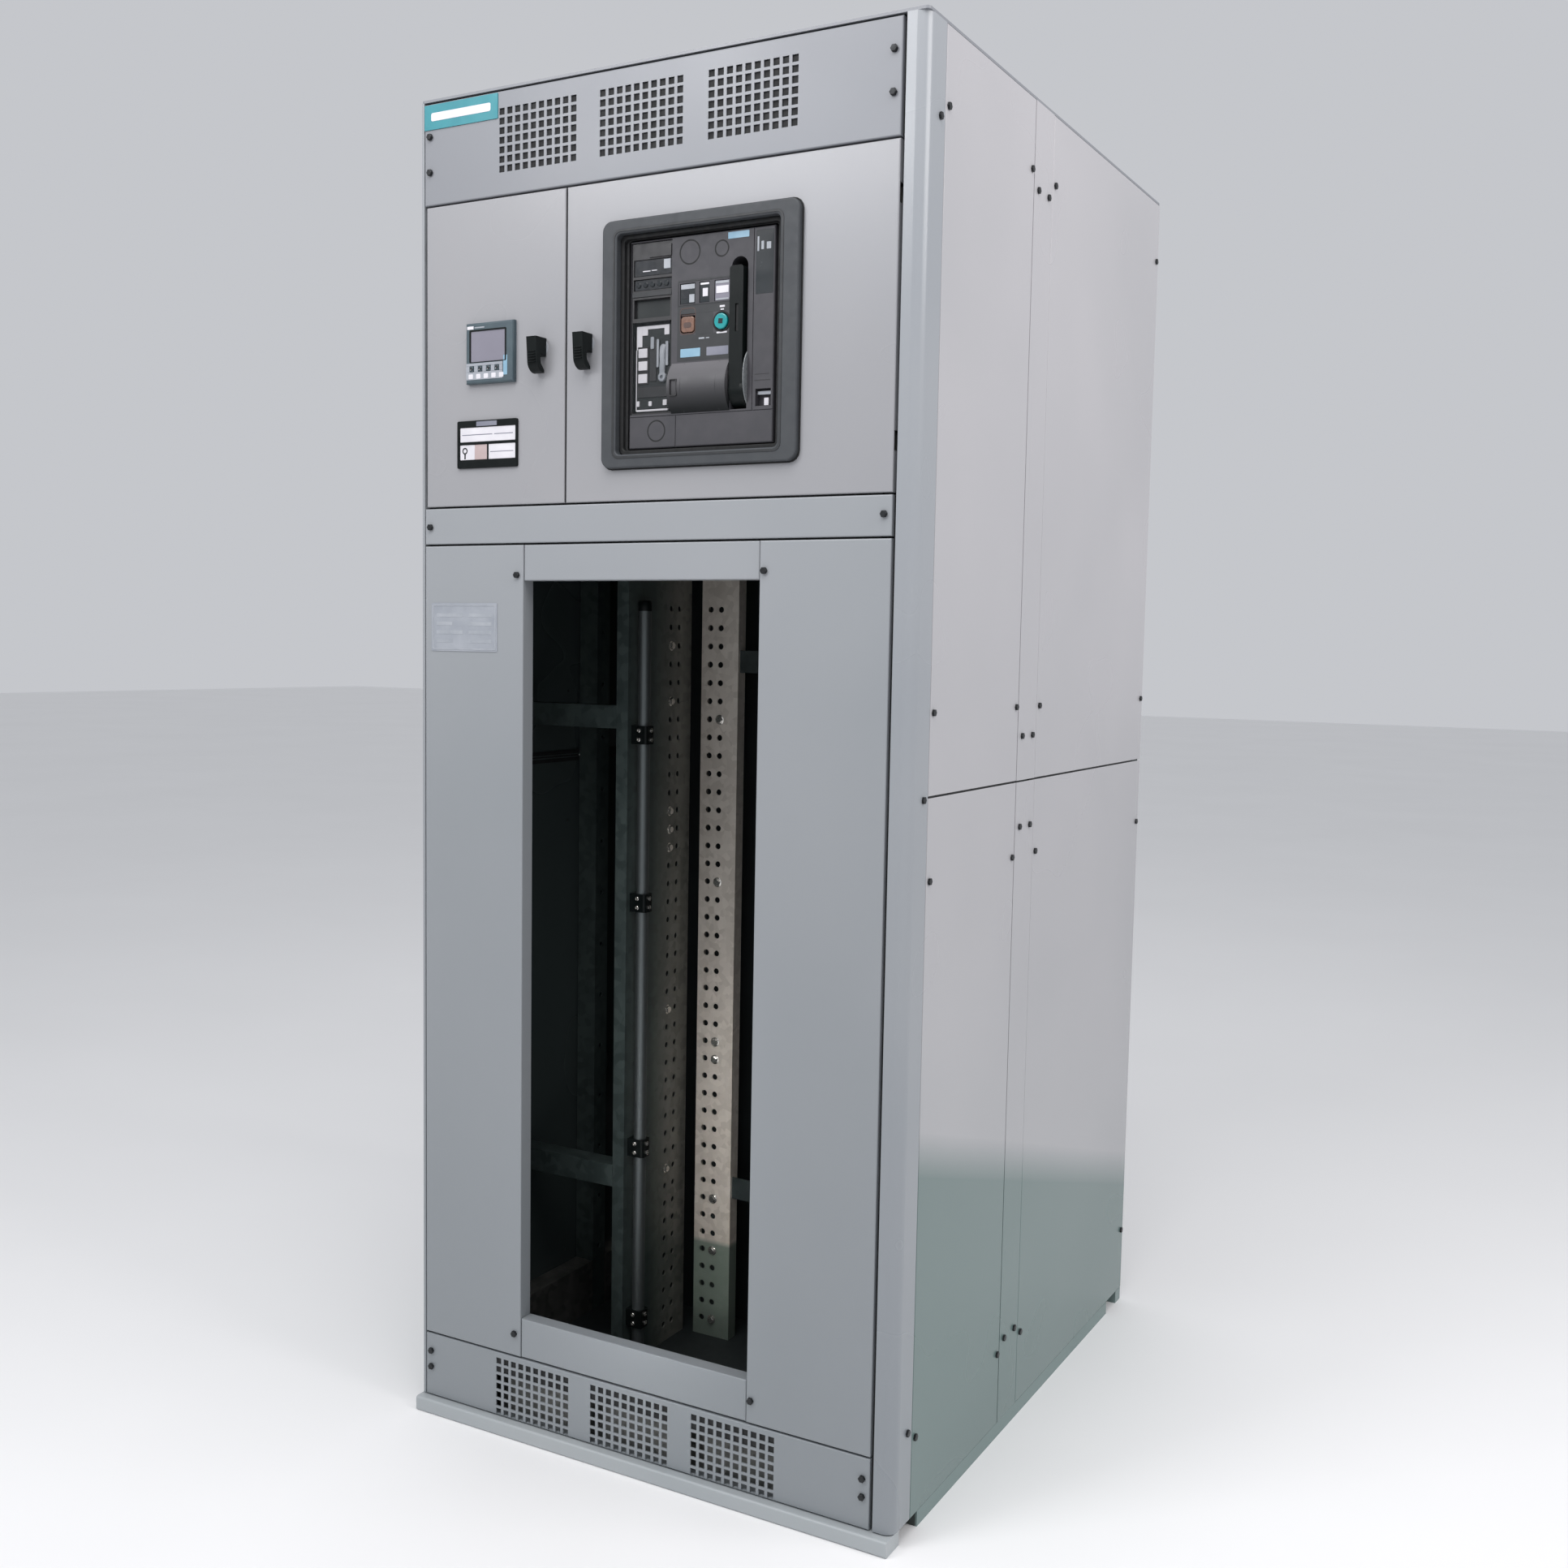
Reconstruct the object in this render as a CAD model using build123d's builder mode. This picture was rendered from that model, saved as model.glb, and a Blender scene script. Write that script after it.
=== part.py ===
from build123d import *

import os

# Low-voltage switchboard cabinet with a withdrawable main circuit breaker.
#
# Frame: millimetres, +Z up, the front faces -Y, X runs left to right as seen from the front.
# The origin is on the floor at the centre of the four floor-bolt holes.
# Each sub-part is a node of its own, written to parts/NAME.step.

os.makedirs("parts", exist_ok=True)

# ------------------------------------------------------------------ overall size
width = 900.0
depth = 1100.0
height = 2200.0
left = -width / 2
right = width / 2
front = -depth / 2
back = depth / 2

# ------------------------------------------------------------------ sheet metal
sheet = 2.0  # wall of every cover, door and side panel
bend = 2.0  # outside radius of a folded edge
cover_depth = 26.0  # front covers reach back to the frame
door_depth = 20.0  # doors stop short of the frame
seam = 3.0  # gap between neighbouring covers
frame_front = front + cover_depth

# ------------------------------------------------------------------ front layout
left_trim = 6.0
right_trim = 33.0
field_left = left + left_trim + 5.0
field_right = right - right_trim - 6.0
rail_height = 25.0  # base frame under the cabinet
base_panel_bottom = rail_height + 2.0
base_panel_top = 136.0
cover_bottom = base_panel_top + seam
cover_top = 1484.0
strip_bottom = cover_top + seam
strip_top = 1545.0
door_bottom = strip_top + seam
door_top = 2030.0
top_panel_bottom = door_top + seam
top_panel_top = 2193.0
roof_bottom = height - 4.0
door_split = -157.0

bay_left = -237.0  # open device bay between the two lower covers
bay_right = 198.0
bay_bottom = 205.0
bay_top = 1427.0

# ------------------------------------------------------------------ frame
post = 40.0
post_wall = 2.5
post_out = right - sheet - 2.0  # outer face of the posts, 2 mm inside the side panels
post_in = post_out - post
rear_frame = back - 4.0
side_rail_top = 125.0
floor_level = rail_height + 2.0  # gland plate, low behind the sill of the open bay
shelf_level = 1523.0
ceiling_level = 2040.0
partition_y = 0.0

# ------------------------------------------------------------------ circuit breaker
breaker_x = 86.5
breaker_z = 1781.0
face_y = front + 5.0  # front face of the breaker, just behind the door's face
face_width = 253.0
face_height = 310.0
shell_depth = 105.0
case_width = 314.0
case_bottom = 1580.0
case_top = 1985.0
case_depth = 310.0
pole_pitch = 105.0
upper_stab_z = 1880.0
lower_stab_z = 1680.0

# ------------------------------------------------------------------ fasteners
screw_head = 5.5
screw_head_height = 5.0
screw_shank = 2.9
screw_hole = 3.0


def slab(x0, x1, y0, y1, z0, z1, mode=Mode.ADD):
    """A box between two opposite corners, in the part being built."""
    with Locations(((x0 + x1) / 2, (y0 + y1) / 2, (z0 + z1) / 2)):
        Box(x1 - x0, y1 - y0, z1 - z0, mode=mode)


def rod_x(x0, x1, y, z, radius, mode=Mode.ADD):
    """A cylinder along X."""
    with Locations(((x0 + x1) / 2, y, z)):
        Cylinder(radius, x1 - x0, rotation=(0, 90, 0), mode=mode)


def rod_y(x, y0, y1, z, radius, mode=Mode.ADD):
    """A cylinder along Y."""
    with Locations((x, (y0 + y1) / 2, z)):
        Cylinder(radius, y1 - y0, rotation=(90, 0, 0), mode=mode)


def rod_z(x, y, z0, z1, radius, mode=Mode.ADD):
    """A cylinder along Z."""
    with Locations((x, y, (z0 + z1) / 2)):
        Cylinder(radius, z1 - z0, mode=mode)


def front_pan(x0, x1, z0, z1, reach=cover_depth, face=front):
    """A folded sheet cover that faces -Y, open at the back, with rounded front edges."""
    slab(x0, x1, face, face + reach, z0, z1)
    fillet(edges(Select.LAST).group_by(Axis.Y)[0], bend)
    slab(x0 + sheet, x1 - sheet, face + sheet, face + reach, z0 + sheet, z1 - sheet, Mode.SUBTRACT)


def side_pan(side, y0, y1, z0, z1, reach=4.0):
    """A folded sheet panel on the left (-1) or right (+1) side, open inwards."""
    outer = side * right
    inner = side * (right - reach)
    skin = side * (right - sheet)
    slab(min(outer, inner), max(outer, inner), y0, y1, z0, z1)
    outer_group = -1 if side > 0 else 0
    fillet(edges(Select.LAST).group_by(Axis.X)[outer_group], 1.2)
    low, high = min(skin, inner), max(skin, inner)
    slab(low, high, y0 + sheet, y1 - sheet, z0 + sheet, z1 - sheet, Mode.SUBTRACT)


def back_pan(x0, x1, z0, z1, reach=4.0):
    """A shallow sheet cover that faces +Y."""
    slab(x0, x1, back - reach, back, z0, z1)
    fillet(edges(Select.LAST).group_by(Axis.Y)[-1], 1.5)


def tube_z(x0, x1, y0, y1, z0, z1):
    """An upright square tube."""
    slab(x0, x1, y0, y1, z0, z1)
    slab(x0 + post_wall, x1 - post_wall, y0 + post_wall, y1 - post_wall, z0, z1, Mode.SUBTRACT)


def side_holes(side, spots):
    """Clearance holes for screws through a side sheet being built."""
    for y, z in spots:
        x0, x1 = sorted((side * (right + 1.0), side * (right - sheet - 1.0)))
        rod_x(x0, x1, y, z, screw_hole, Mode.SUBTRACT)


def write(builder, name):
    """Label a finished piece and write its STEP file."""
    builder.part.label = name
    export_step(builder.part, f"parts/{name}.step")


# ================================================================== base and frame
foot_in = 384.0
foot_near = 400.0
foot_far = 460.0
foot_bolt_x = (foot_in + post_out) / 2
foot_bolt_y = (foot_near + foot_far) / 2
floor_bolt_radius = 7.0
rail_web = 3.0
rail_face = right - 1.0  # outer face of the side base rails
side_rail_width = 19.0
front_rail_front = front - 15.0
front_rail_back = front + 30.0
rear_rail_front = back - 30.0

with BuildPart() as base_rails:
    slab(left - 3.0, right - 3.0, front_rail_front, front_rail_back, 0, rail_height)
    fillet(edges(Select.LAST).filter_by(Axis.X).group_by(Axis.Y)[0], 4.0)
    slab(-rail_face, rail_face, rear_rail_front, back, 0, rail_height)
    for side in (-1, 1):
        x0, x1 = sorted((side * (rail_face - rail_web), side * rail_face))
        slab(x0, x1, -foot_far, foot_far, 0, rail_height)
        x0, x1 = sorted((side * (rail_face - side_rail_width), side * (rail_face - rail_web)))
        slab(x0, x1, -foot_near + 2.0, foot_near - 2.0, 0, rail_height)
write(base_rails, "base_rails")

with BuildPart() as feet:
    for sx in (-1, 1):
        x0, x1 = sorted((sx * foot_in, sx * post_out))
        for sy in (-1, 1):
            y0, y1 = sorted((sy * foot_near, sy * foot_far))
            slab(x0, x1, y0, y1, 0, rail_height)
            rod_z(sx * foot_bolt_x, sy * foot_bolt_y, 0, rail_height, floor_bolt_radius, Mode.SUBTRACT)
write(feet, "feet")

post_rows = (
    (frame_front, frame_front + post),  # front
    (-113.0, -73.0),  # middle, behind the joint strip of the side panels
    (rear_frame - post, rear_frame),  # rear
)
post_top = roof_bottom - 6.0
stud_hole = 4.3
stud_pitch = 100.0

with BuildPart() as frame_posts:
    for side in (-1, 1):
        x0, x1 = sorted((side * post_in, side * post_out))
        for y0, y1 in post_rows:
            tube_z(x0, x1, y0, y1, rail_height, post_top)
            holes = int((post_top - 2 * stud_pitch) / stud_pitch)
            for row in range(holes):
                z = 1.5 * stud_pitch + row * stud_pitch
                inner_wall = sorted((side * (post_in - 1.0), side * (post_in + post_wall + 1.0)))
                rod_x(*inner_wall, (y0 + y1) / 2, z, stud_hole, Mode.SUBTRACT)
write(frame_posts, "frame_posts")

rail_section = 40.0
front_plate_top = 97.0
door_header = (2016.0, 2060.0)
joint_gap = 0.3  # between pieces of one node that are bolted, not welded
with BuildPart() as frame_rails:
    for y0, y1 in (post_rows[0], post_rows[2]):
        slab(-post_in, post_in, y0, y1, post_top - rail_section, post_top)
    slab(-post_in, post_in, frame_front, frame_front + 3.0, rail_height, front_plate_top)
    slab(-post_in, post_in, post_rows[2][0], rear_frame, rail_height, rail_height + rail_section)
    for side in (-1, 1):
        x0, x1 = sorted((side * post_in, side * post_out))
        for (_, y0), (y1, _) in zip(post_rows, post_rows[1:]):
            slab(x0, x1, y0, y1, post_top - rail_section, post_top)
            slab(x0, x1, y0, y1, rail_height, side_rail_top)
write(frame_rails, "frame_rails")

with BuildPart() as door_frame_bars:
    slab(-168.0, -146.0, frame_front, frame_front + 28.0, strip_top + joint_gap, door_header[0] - joint_gap)
    slab(-post_in, post_in, frame_front, frame_front + 28.0, *door_header)
    slab(-post_in, post_in, frame_front, frame_front + 3.0, shelf_level, strip_top)
write(door_frame_bars, "door_frame_bars")

# ================================================================== corner trims
trim_top = roof_bottom
trim_back = -490.0
corner_radius = 18.0
trim_spots = [(-506.0, z) for z in (2066.0, 1113.0, 168.0)]

with BuildPart() as left_front_trim:
    slab(left, left + left_trim, front, trim_back, base_panel_bottom, trim_top)
    fillet(edges(Select.LAST).filter_by(Axis.Z).group_by(Axis.Y)[0].sort_by(Axis.X)[0], 2.5)
    slab(left + 2.0, left + left_trim, front + 12.0, trim_back, base_panel_bottom, trim_top, Mode.SUBTRACT)
write(left_front_trim, "left_front_trim")

with BuildPart() as right_front_trim:
    with BuildSketch(Plane.XY.offset(base_panel_bottom)):
        with BuildLine():
            Polyline(
                (right - right_trim, front + 20.0),
                (right - right_trim, front),
                (right, front),
                (right, trim_back),
                (right - sheet, trim_back),
                (right - sheet, front + sheet),
                (right - right_trim + sheet, front + sheet),
                (right - right_trim + sheet, front + 20.0),
                close=True,
            )
        make_face()
        outer = vertices().filter_by_position(Axis.X, right - 0.1, right + 0.1)
        fillet(outer.sort_by(Axis.Y)[0], corner_radius)
        inner = vertices().filter_by_position(Axis.X, right - sheet - 0.1, right - sheet + 0.1)
        fillet(inner.sort_by(Axis.Y)[0], corner_radius - sheet)
    extrude(amount=trim_top - base_panel_bottom)
    side_holes(1, trim_spots)
write(right_front_trim, "right_front_trim")

# ================================================================== roof
lift_x = 390.0
lift_y = 470.0
lift_hole = 7.0
with BuildPart() as roof_plate:
    slab(left, right, front, back, roof_bottom, height)
    fillet(edges(Select.LAST).filter_by(Axis.Z), 6.0)
    for sx in (-1, 1):
        for sy in (-1, 1):
            x0, x1 = sorted((sx * 370.0, sx * post_out))
            y0, y1 = sorted((sy * 440.0, sy * -frame_front))
            slab(x0, x1, y0, y1, post_top, roof_bottom)
    with Locations((0, 0, roof_bottom)):
        with GridLocations(2 * lift_x, 2 * lift_y, 2, 2):
            Cylinder(lift_hole, 20.0, mode=Mode.SUBTRACT)
write(roof_plate, "roof_plate")

# ================================================================== ventilation panels
vent_hole = 10.5
vent_pitch_x = 15.5
vent_pitch_z = 14.7
vent_columns = 10
vent_rows = 7
vent_spacing = 194.0
vent_centre = -20.5
top_vent_z = 2117.5
bottom_vent_z = 77.5


def vent_grid(z_centre):
    """Three blocks of square perforations through the front sheet being built."""
    for block in (-1, 0, 1):
        with BuildSketch(Plane.XZ.offset(-front + 1.0)) as holes:
            with Locations((vent_centre + block * vent_spacing, z_centre)):
                with GridLocations(vent_pitch_x, vent_pitch_z, vent_columns, vent_rows):
                    Rectangle(vent_hole, vent_hole)
        extrude(holes.sketch, amount=-2 * sheet, mode=Mode.SUBTRACT)


left_screw_x = field_left + 8.0
right_screw_x = field_right - 12.0
top_screws = [
    (left_screw_x, 2141.0),
    (left_screw_x, 2085.0),
    (right_screw_x, 2150.0),
    (right_screw_x, 2092.0),
]
bottom_screws = [(left_screw_x, 106.0), (left_screw_x, 78.0), (right_screw_x, 104.0), (right_screw_x, 76.0)]
strip_screws = [(left_screw_x, 1515.0), (right_screw_x, 1518.0)]
left_cover_screws = [(-251.0, 1436.0), (-251.0, 177.0)]
right_cover_screws = [(206.0, 1440.0), (206.0, 175.0)]


def screw_holes(places):
    """Clearance holes for cover screws through the front sheet being built."""
    for x, z in places:
        rod_y(x, front - 1.0, front + sheet + 1.0, z, screw_hole, Mode.SUBTRACT)


with BuildPart() as top_vent_panel:
    front_pan(field_left - 4.0, field_right, top_panel_bottom, top_panel_top)
    vent_grid(top_vent_z)
    screw_holes(top_screws)
write(top_vent_panel, "top_vent_panel")

with BuildPart() as bottom_vent_panel:
    front_pan(field_left - 4.0, field_right, base_panel_bottom, base_panel_top)
    vent_grid(bottom_vent_z)
    screw_holes(bottom_screws)
write(bottom_vent_panel, "bottom_vent_panel")

with BuildPart() as name_plate:
    slab(field_left - 3.0, -292.0, front - 1.5, front, 2152.0, 2191.0)
    fillet(edges(Select.LAST).filter_by(Axis.Y), 1.0)
write(name_plate, "name_plate")

# ================================================================== lower front
with BuildPart() as middle_strip:
    front_pan(field_left - 4.0, field_right, strip_bottom, strip_top)
    screw_holes(strip_screws)
write(middle_strip, "middle_strip")

with BuildPart() as left_lower_cover:
    front_pan(field_left - 4.0, bay_left - 2.0, cover_bottom, cover_top)
    screw_holes(left_cover_screws)
write(left_lower_cover, "left_lower_cover")

with BuildPart() as right_lower_cover:
    front_pan(bay_right, field_right, cover_bottom, cover_top)
    screw_holes(right_cover_screws)
write(right_lower_cover, "right_lower_cover")

with BuildPart() as rating_plate:
    slab(-429.0, -291.0, front - 1.0, front, 1312.0, 1391.0)
    fillet(edges(Select.LAST).filter_by(Axis.Y), 2.0)
write(rating_plate, "rating_plate")

strip_face = front + 1.5
with BuildPart() as opening_strips:
    front_pan(bay_left - 1.0, bay_right - 1.0, bay_top, cover_top, cover_depth - 1.5, strip_face)
    front_pan(bay_left - 1.0, bay_right - 1.0, cover_bottom, bay_bottom, cover_depth - 1.5, strip_face)
write(opening_strips, "opening_strips")


def screw(x, z, head_y):
    """A dome-topped hexagon screw along Y with its head standing on head_y."""
    with BuildSketch(Plane.XZ.offset(-head_y)) as hexagon:
        with Locations((x, z)):
            RegularPolygon(screw_head, 6)
    extrude(hexagon.sketch, amount=screw_head_height)
    fillet(faces(Select.LAST).sort_by(Axis.Y)[0].edges(), 1.2)
    rod_y(x, head_y, head_y + 12.0, z, screw_shank)


with BuildPart() as front_screws:
    for x, z in top_screws + bottom_screws + strip_screws + left_cover_screws + right_cover_screws:
        screw(x, z, front)
write(front_screws, "front_screws")

# ================================================================== side and rear panels
side_bottom = rail_height + 1.0
side_seam = 1115.5
side_top = roof_bottom
strip_front = -135.0
strip_back = -52.0
side_rows = ((side_bottom, side_seam - 1.5), (side_seam + 1.5, side_top))

screw_levels = (2087.0, 1238.0, 992.0, 150.0)
front_panel_spots = [(y, z) for y in (-478.0, -147.0) for z in screw_levels]
rear_panel_spots = [(y, z) for y in (-40.0, 536.0) for z in screw_levels]
joint_strip_spots = [(y, z) for y in (-117.0, -70.0) for z in (2061.0, 1190.0, 1040.0, 168.0)]
rear_cover_spots = [(x, z) for x in (-420.0, 420.0) for z in (90.0, 580.0, 1070.0, 1130.0, 1650.0, 2160.0)]


with BuildPart() as right_front_side_panels:
    for z0, z1 in side_rows:
        side_pan(1, trim_back + 2.0, strip_front - 1.5, z0, z1)
    side_holes(1, front_panel_spots)
write(right_front_side_panels, "right_front_side_panels")

with BuildPart() as right_rear_side_panels:
    for z0, z1 in side_rows:
        side_pan(1, strip_back + 1.5, back, z0, z1)
    side_holes(1, rear_panel_spots)
write(right_rear_side_panels, "right_rear_side_panels")

with BuildPart() as right_joint_strips:
    for z0, z1 in side_rows:
        slab(right - sheet, right, strip_front, strip_back, z0, z1)
    side_holes(1, joint_strip_spots)
write(right_joint_strips, "right_joint_strips")

with BuildPart() as left_side_panels:
    for z0, z1 in side_rows:
        side_pan(-1, trim_back + 2.0, back, z0, z1)
    side_holes(-1, front_panel_spots + rear_panel_spots)
write(left_side_panels, "left_side_panels")

rear_seam = 1099.5
rear_bottom = 60.0
rear_rows = ((rear_bottom, rear_seam - 1.5), (rear_seam + 1.5, side_top))
rear_half = right - 14.0
louvre_rows = 8
louvre_pitch = 11.0
with BuildPart() as rear_covers:
    for z0, z1 in rear_rows:
        back_pan(-rear_half, rear_half, z0, z1)
    for louvre_z in (rear_rows[0][0] + 60.0, rear_rows[1][1] - 140.0):
        with BuildSketch(Plane.XZ.offset(-back - 1.0)) as louvres:
            with Locations((0, louvre_z + louvre_pitch * (louvre_rows - 1) / 2)):
                with GridLocations(420.0, louvre_pitch, 2, louvre_rows):
                    SlotOverall(180.0, 4.5)
        extrude(louvres.sketch, amount=8.0, mode=Mode.SUBTRACT)
    for x, z in rear_cover_spots:
        rod_y(x, back - 6.0, back + 1.0, z, screw_hole, Mode.SUBTRACT)
write(rear_covers, "rear_covers")


def side_screw(side, y, z):
    """A flat hexagon screw along X with its head on the outside of a side sheet."""
    with BuildSketch(Plane.YZ.offset(side * right)) as hexagon:
        with Locations((y, z)):
            RegularPolygon(screw_head, 6)
    extrude(hexagon.sketch, amount=side * 3.5)
    x0, x1 = sorted((side * right, side * (right - sheet)))
    rod_x(x0, x1, y, z, screw_shank)


with BuildPart() as panel_screws:
    for y, z in front_panel_spots + rear_panel_spots + joint_strip_spots + trim_spots:
        side_screw(1, y, z)
    for y, z in front_panel_spots + rear_panel_spots:
        side_screw(-1, y, z)
    for x, z in rear_cover_spots:
        with BuildSketch(Plane.XZ.offset(-back)) as hexagon:
            with Locations((x, z)):
                RegularPolygon(screw_head, 6)
        extrude(hexagon.sketch, amount=-3.5)
        rod_y(x, back - 4.0, back, z, screw_shank)
write(panel_screws, "panel_screws")

# ================================================================== compartments
plate_x = post_in - 2.0
plate_front = post_rows[0][1] + 2.0
plate = 3.0
cradle_left = breaker_x - 172.0
cradle_right = breaker_x + 172.0

with BuildPart() as compartment_plates:
    slab(-plate_x, plate_x, plate_front, partition_y - 1.0, floor_level - 2.0, floor_level)
    slab(-plate_x, plate_x, frame_front + 29.0, partition_y - 1.0, shelf_level - plate, shelf_level)
    slab(-plate_x, plate_x, frame_front + 29.0, partition_y - 1.0, ceiling_level, ceiling_level + 2.0)
write(compartment_plates, "compartment_plates")

with BuildPart() as metering_partition:
    slab(-158.0, -156.0, frame_front + 29.0, partition_y - 1.0, shelf_level, ceiling_level)
    slab(-156.0, -140.0, frame_front + 29.0, partition_y - 1.0, shelf_level, shelf_level + 2.0)
write(metering_partition, "metering_partition")

with BuildPart() as rear_partition:
    slab(-plate_x, plate_x, partition_y, partition_y + 2.0, floor_level - 2.0, shelf_level - plate)
    slab(-plate_x, cradle_left - 1.0, partition_y, partition_y + 2.0, shelf_level, ceiling_level)
    slab(cradle_right + 1.0, plate_x, partition_y, partition_y + 2.0, shelf_level, ceiling_level)
write(rear_partition, "rear_partition")

# ================================================================== device bay
upright_web = 206.0
upright_front = -300.0
upright_back = -97.0
upright_flange = 24.0
upright_wall = 2.5
perforation = 5.5
perforation_pitch = 100.0 / 3
perforation_rows = 41
perforation_start = 60.0
perforation_middle = perforation_start + perforation_pitch * (perforation_rows - 1) / 2
web_column_y = -151.0
web_column_pitch = 27.0
cross_levels = (380.0, 1201.0)
cross_half = 20.0
cross_wall = 3.0
cross_depth = 38.0

with BuildPart() as device_frame:
    for side in (-1, 1):
        web0, web1 = sorted((side * upright_web, side * (upright_web + upright_wall)))
        lip0, lip1 = sorted((side * (upright_web + upright_wall), side * (upright_web + upright_flange)))
        slab(web0, web1, upright_front, upright_back, floor_level, shelf_level - plate)
        for y0 in (upright_front, upright_back - upright_wall):
            slab(lip0, lip1, y0, y0 + upright_wall, floor_level, shelf_level - plate)
        with BuildSketch(Plane.YZ.offset(web0 - 1.0)) as holes:
            with Locations((web_column_y, perforation_middle)):
                with GridLocations(web_column_pitch, perforation_pitch, 2, perforation_rows):
                    Circle(perforation)
        extrude(holes.sketch, amount=upright_wall + 2.0, mode=Mode.SUBTRACT)
    for side in (-1, 1):
        x0, x1 = sorted((side * (upright_web + upright_flange + joint_gap), side * (right - sheet)))
        for z in cross_levels:
            slab(x0, x1, upright_front, upright_front + cross_wall, z - cross_half, z + cross_half)
            slab(x0, x1, upright_front + cross_wall, upright_front + cross_depth,
                 z + cross_half - cross_wall, z + cross_half)
write(device_frame, "device_frame")

rail_in = 105.0
rail_out = 183.0
rail_return = 25.0
rail_column_x = 153.5
tie_levels = (320.0, 1300.0)
tie_front = upright_back + 5.0
rail_column_pitch = 22.0

with BuildPart() as mounting_rails:
    for side in (-1, 1):
        x0, x1 = sorted((side * rail_in, side * rail_out))
        slab(x0, x1, upright_back, upright_back + rail_return, floor_level, shelf_level - plate)
        slab(x0 + sheet, x1 - sheet, upright_back + sheet, upright_back + rail_return,
             floor_level, shelf_level - plate, Mode.SUBTRACT)
        with BuildSketch(Plane.XZ.offset(-upright_back + 1.0)) as holes:
            with Locations((side * rail_column_x,
                            perforation_start + perforation_pitch * (perforation_rows - 1) / 2)):
                with GridLocations(rail_column_pitch, perforation_pitch, 2, perforation_rows):
                    Circle(perforation)
        extrude(holes.sketch, amount=-2 * sheet, mode=Mode.SUBTRACT)
    for z in tie_levels:
        slab(joint_gap - rail_in, rail_in - joint_gap, tie_front, tie_front + cross_wall,
             z - cross_half, z + cross_half)
write(mounting_rails, "mounting_rails")

rod_place = (-188.0, -276.0)
rod_radius = 11.0
rod_wall = 2.0
rod_top = 1400.0
clamp_levels = (120.0, 434.0, 875.0, 1171.0)
clamp_half_width = 13.0
clamp_half_height = 16.0

with BuildPart() as support_rod:
    rod_z(*rod_place, floor_level, rod_top, rod_radius)
    rod_z(*rod_place, floor_level, rod_top, rod_radius - rod_wall, Mode.SUBTRACT)
write(support_rod, "support_rod")

with BuildPart() as rod_clamps:
    for z in clamp_levels:
        slab(-upright_web, rod_place[0] + clamp_half_width + 1.0, rod_place[1] - clamp_half_width,
             rod_place[1] + clamp_half_width, z - clamp_half_height, z + clamp_half_height)
        fillet(edges(Select.LAST).filter_by(Axis.Z).group_by(Axis.X)[-1], 5.0)
        rod_z(*rod_place, z - clamp_half_height, z + clamp_half_height, rod_radius, Mode.SUBTRACT)
write(rod_clamps, "rod_clamps")

# ================================================================== busbars
phase_x = [breaker_x + pole_pitch * i for i in (-1, 0, 1)]
bar = 10.0
bar_height = 80.0
main_bar_y = (140.0, 225.0, 310.0, 395.0)
main_bar_z = 2052.0
cradle_back = partition_y - 4.0

with BuildPart() as main_busbars:
    for y in main_bar_y:
        slab(-400.0, 400.0, y - bar / 2, y + bar / 2, main_bar_z, main_bar_z + bar_height)
        for x in (-380.0, -350.0, 350.0, 380.0):
            rod_y(x, y - bar, y + bar, main_bar_z + bar_height / 2, 6.5, Mode.SUBTRACT)
write(main_busbars, "main_busbars")

with BuildPart() as busbar_supports:
    for x in (-300.0, 300.0):
        slab(x - 10.0, x + 10.0, 105.0, 430.0, main_bar_z - 25.0, main_bar_z + bar_height / 2)
        for y in main_bar_y:
            slab(x - 11.0, x + 11.0, y - bar / 2, y + bar / 2, main_bar_z, main_bar_z + bar_height,
                 Mode.SUBTRACT)
        slab(x - 10.0, x + 10.0, partition_y + 2.0, 105.0, main_bar_z - 25.0, main_bar_z + 5.0)
    for z in (820.0, 1320.0):
        slab(phase_x[0] - 60.0, phase_x[2] + 60.0, partition_y + 2.0, 60.0, z - 15.0, z + 15.0)
write(busbar_supports, "busbar_supports")

stab_width = 50.0
stab_tip = -110.0
dropper_bottom = 700.0

with BuildPart() as breaker_connections:
    for i, x in enumerate(phase_x):
        riser_y = main_bar_y[i] - bar / 2
        half = stab_width / 2
        slab(x - half, x + half, stab_tip, riser_y, upper_stab_z - bar / 2, upper_stab_z + bar / 2)
        slab(x - half, x + half, riser_y - bar, riser_y, upper_stab_z + bar / 2, main_bar_z + bar_height)
        slab(x - half, x + half, stab_tip, 70.0, lower_stab_z - bar / 2, lower_stab_z + bar / 2)
        slab(x - half, x + half, 60.0, 70.0, dropper_bottom, lower_stab_z - bar / 2)
        for lug_z in (730.0, 780.0):
            rod_y(x, 59.0, 71.0, lug_z, 6.5, Mode.SUBTRACT)
write(breaker_connections, "breaker_connections")

earth_y = rear_frame - post
earth_z = 150.0
with BuildPart() as earth_bar:
    slab(-400.0, 400.0, earth_y - bar, earth_y, earth_z, earth_z + 40.0)
    with BuildSketch(Plane.XZ.offset(-earth_y - 1.0)) as holes:
        with Locations((0, earth_z + 20.0)):
            with GridLocations(50.0, 10.0, 15, 1):
                Circle(5.5)
    extrude(holes.sketch, amount=bar + 2.0, mode=Mode.SUBTRACT)
    for x in (-392.0, 392.0):
        slab(x - 8.0, x + 8.0, earth_y, rear_frame - 2.0, earth_z + 10.0, earth_z + 30.0)
write(earth_bar, "earth_bar")

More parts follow.
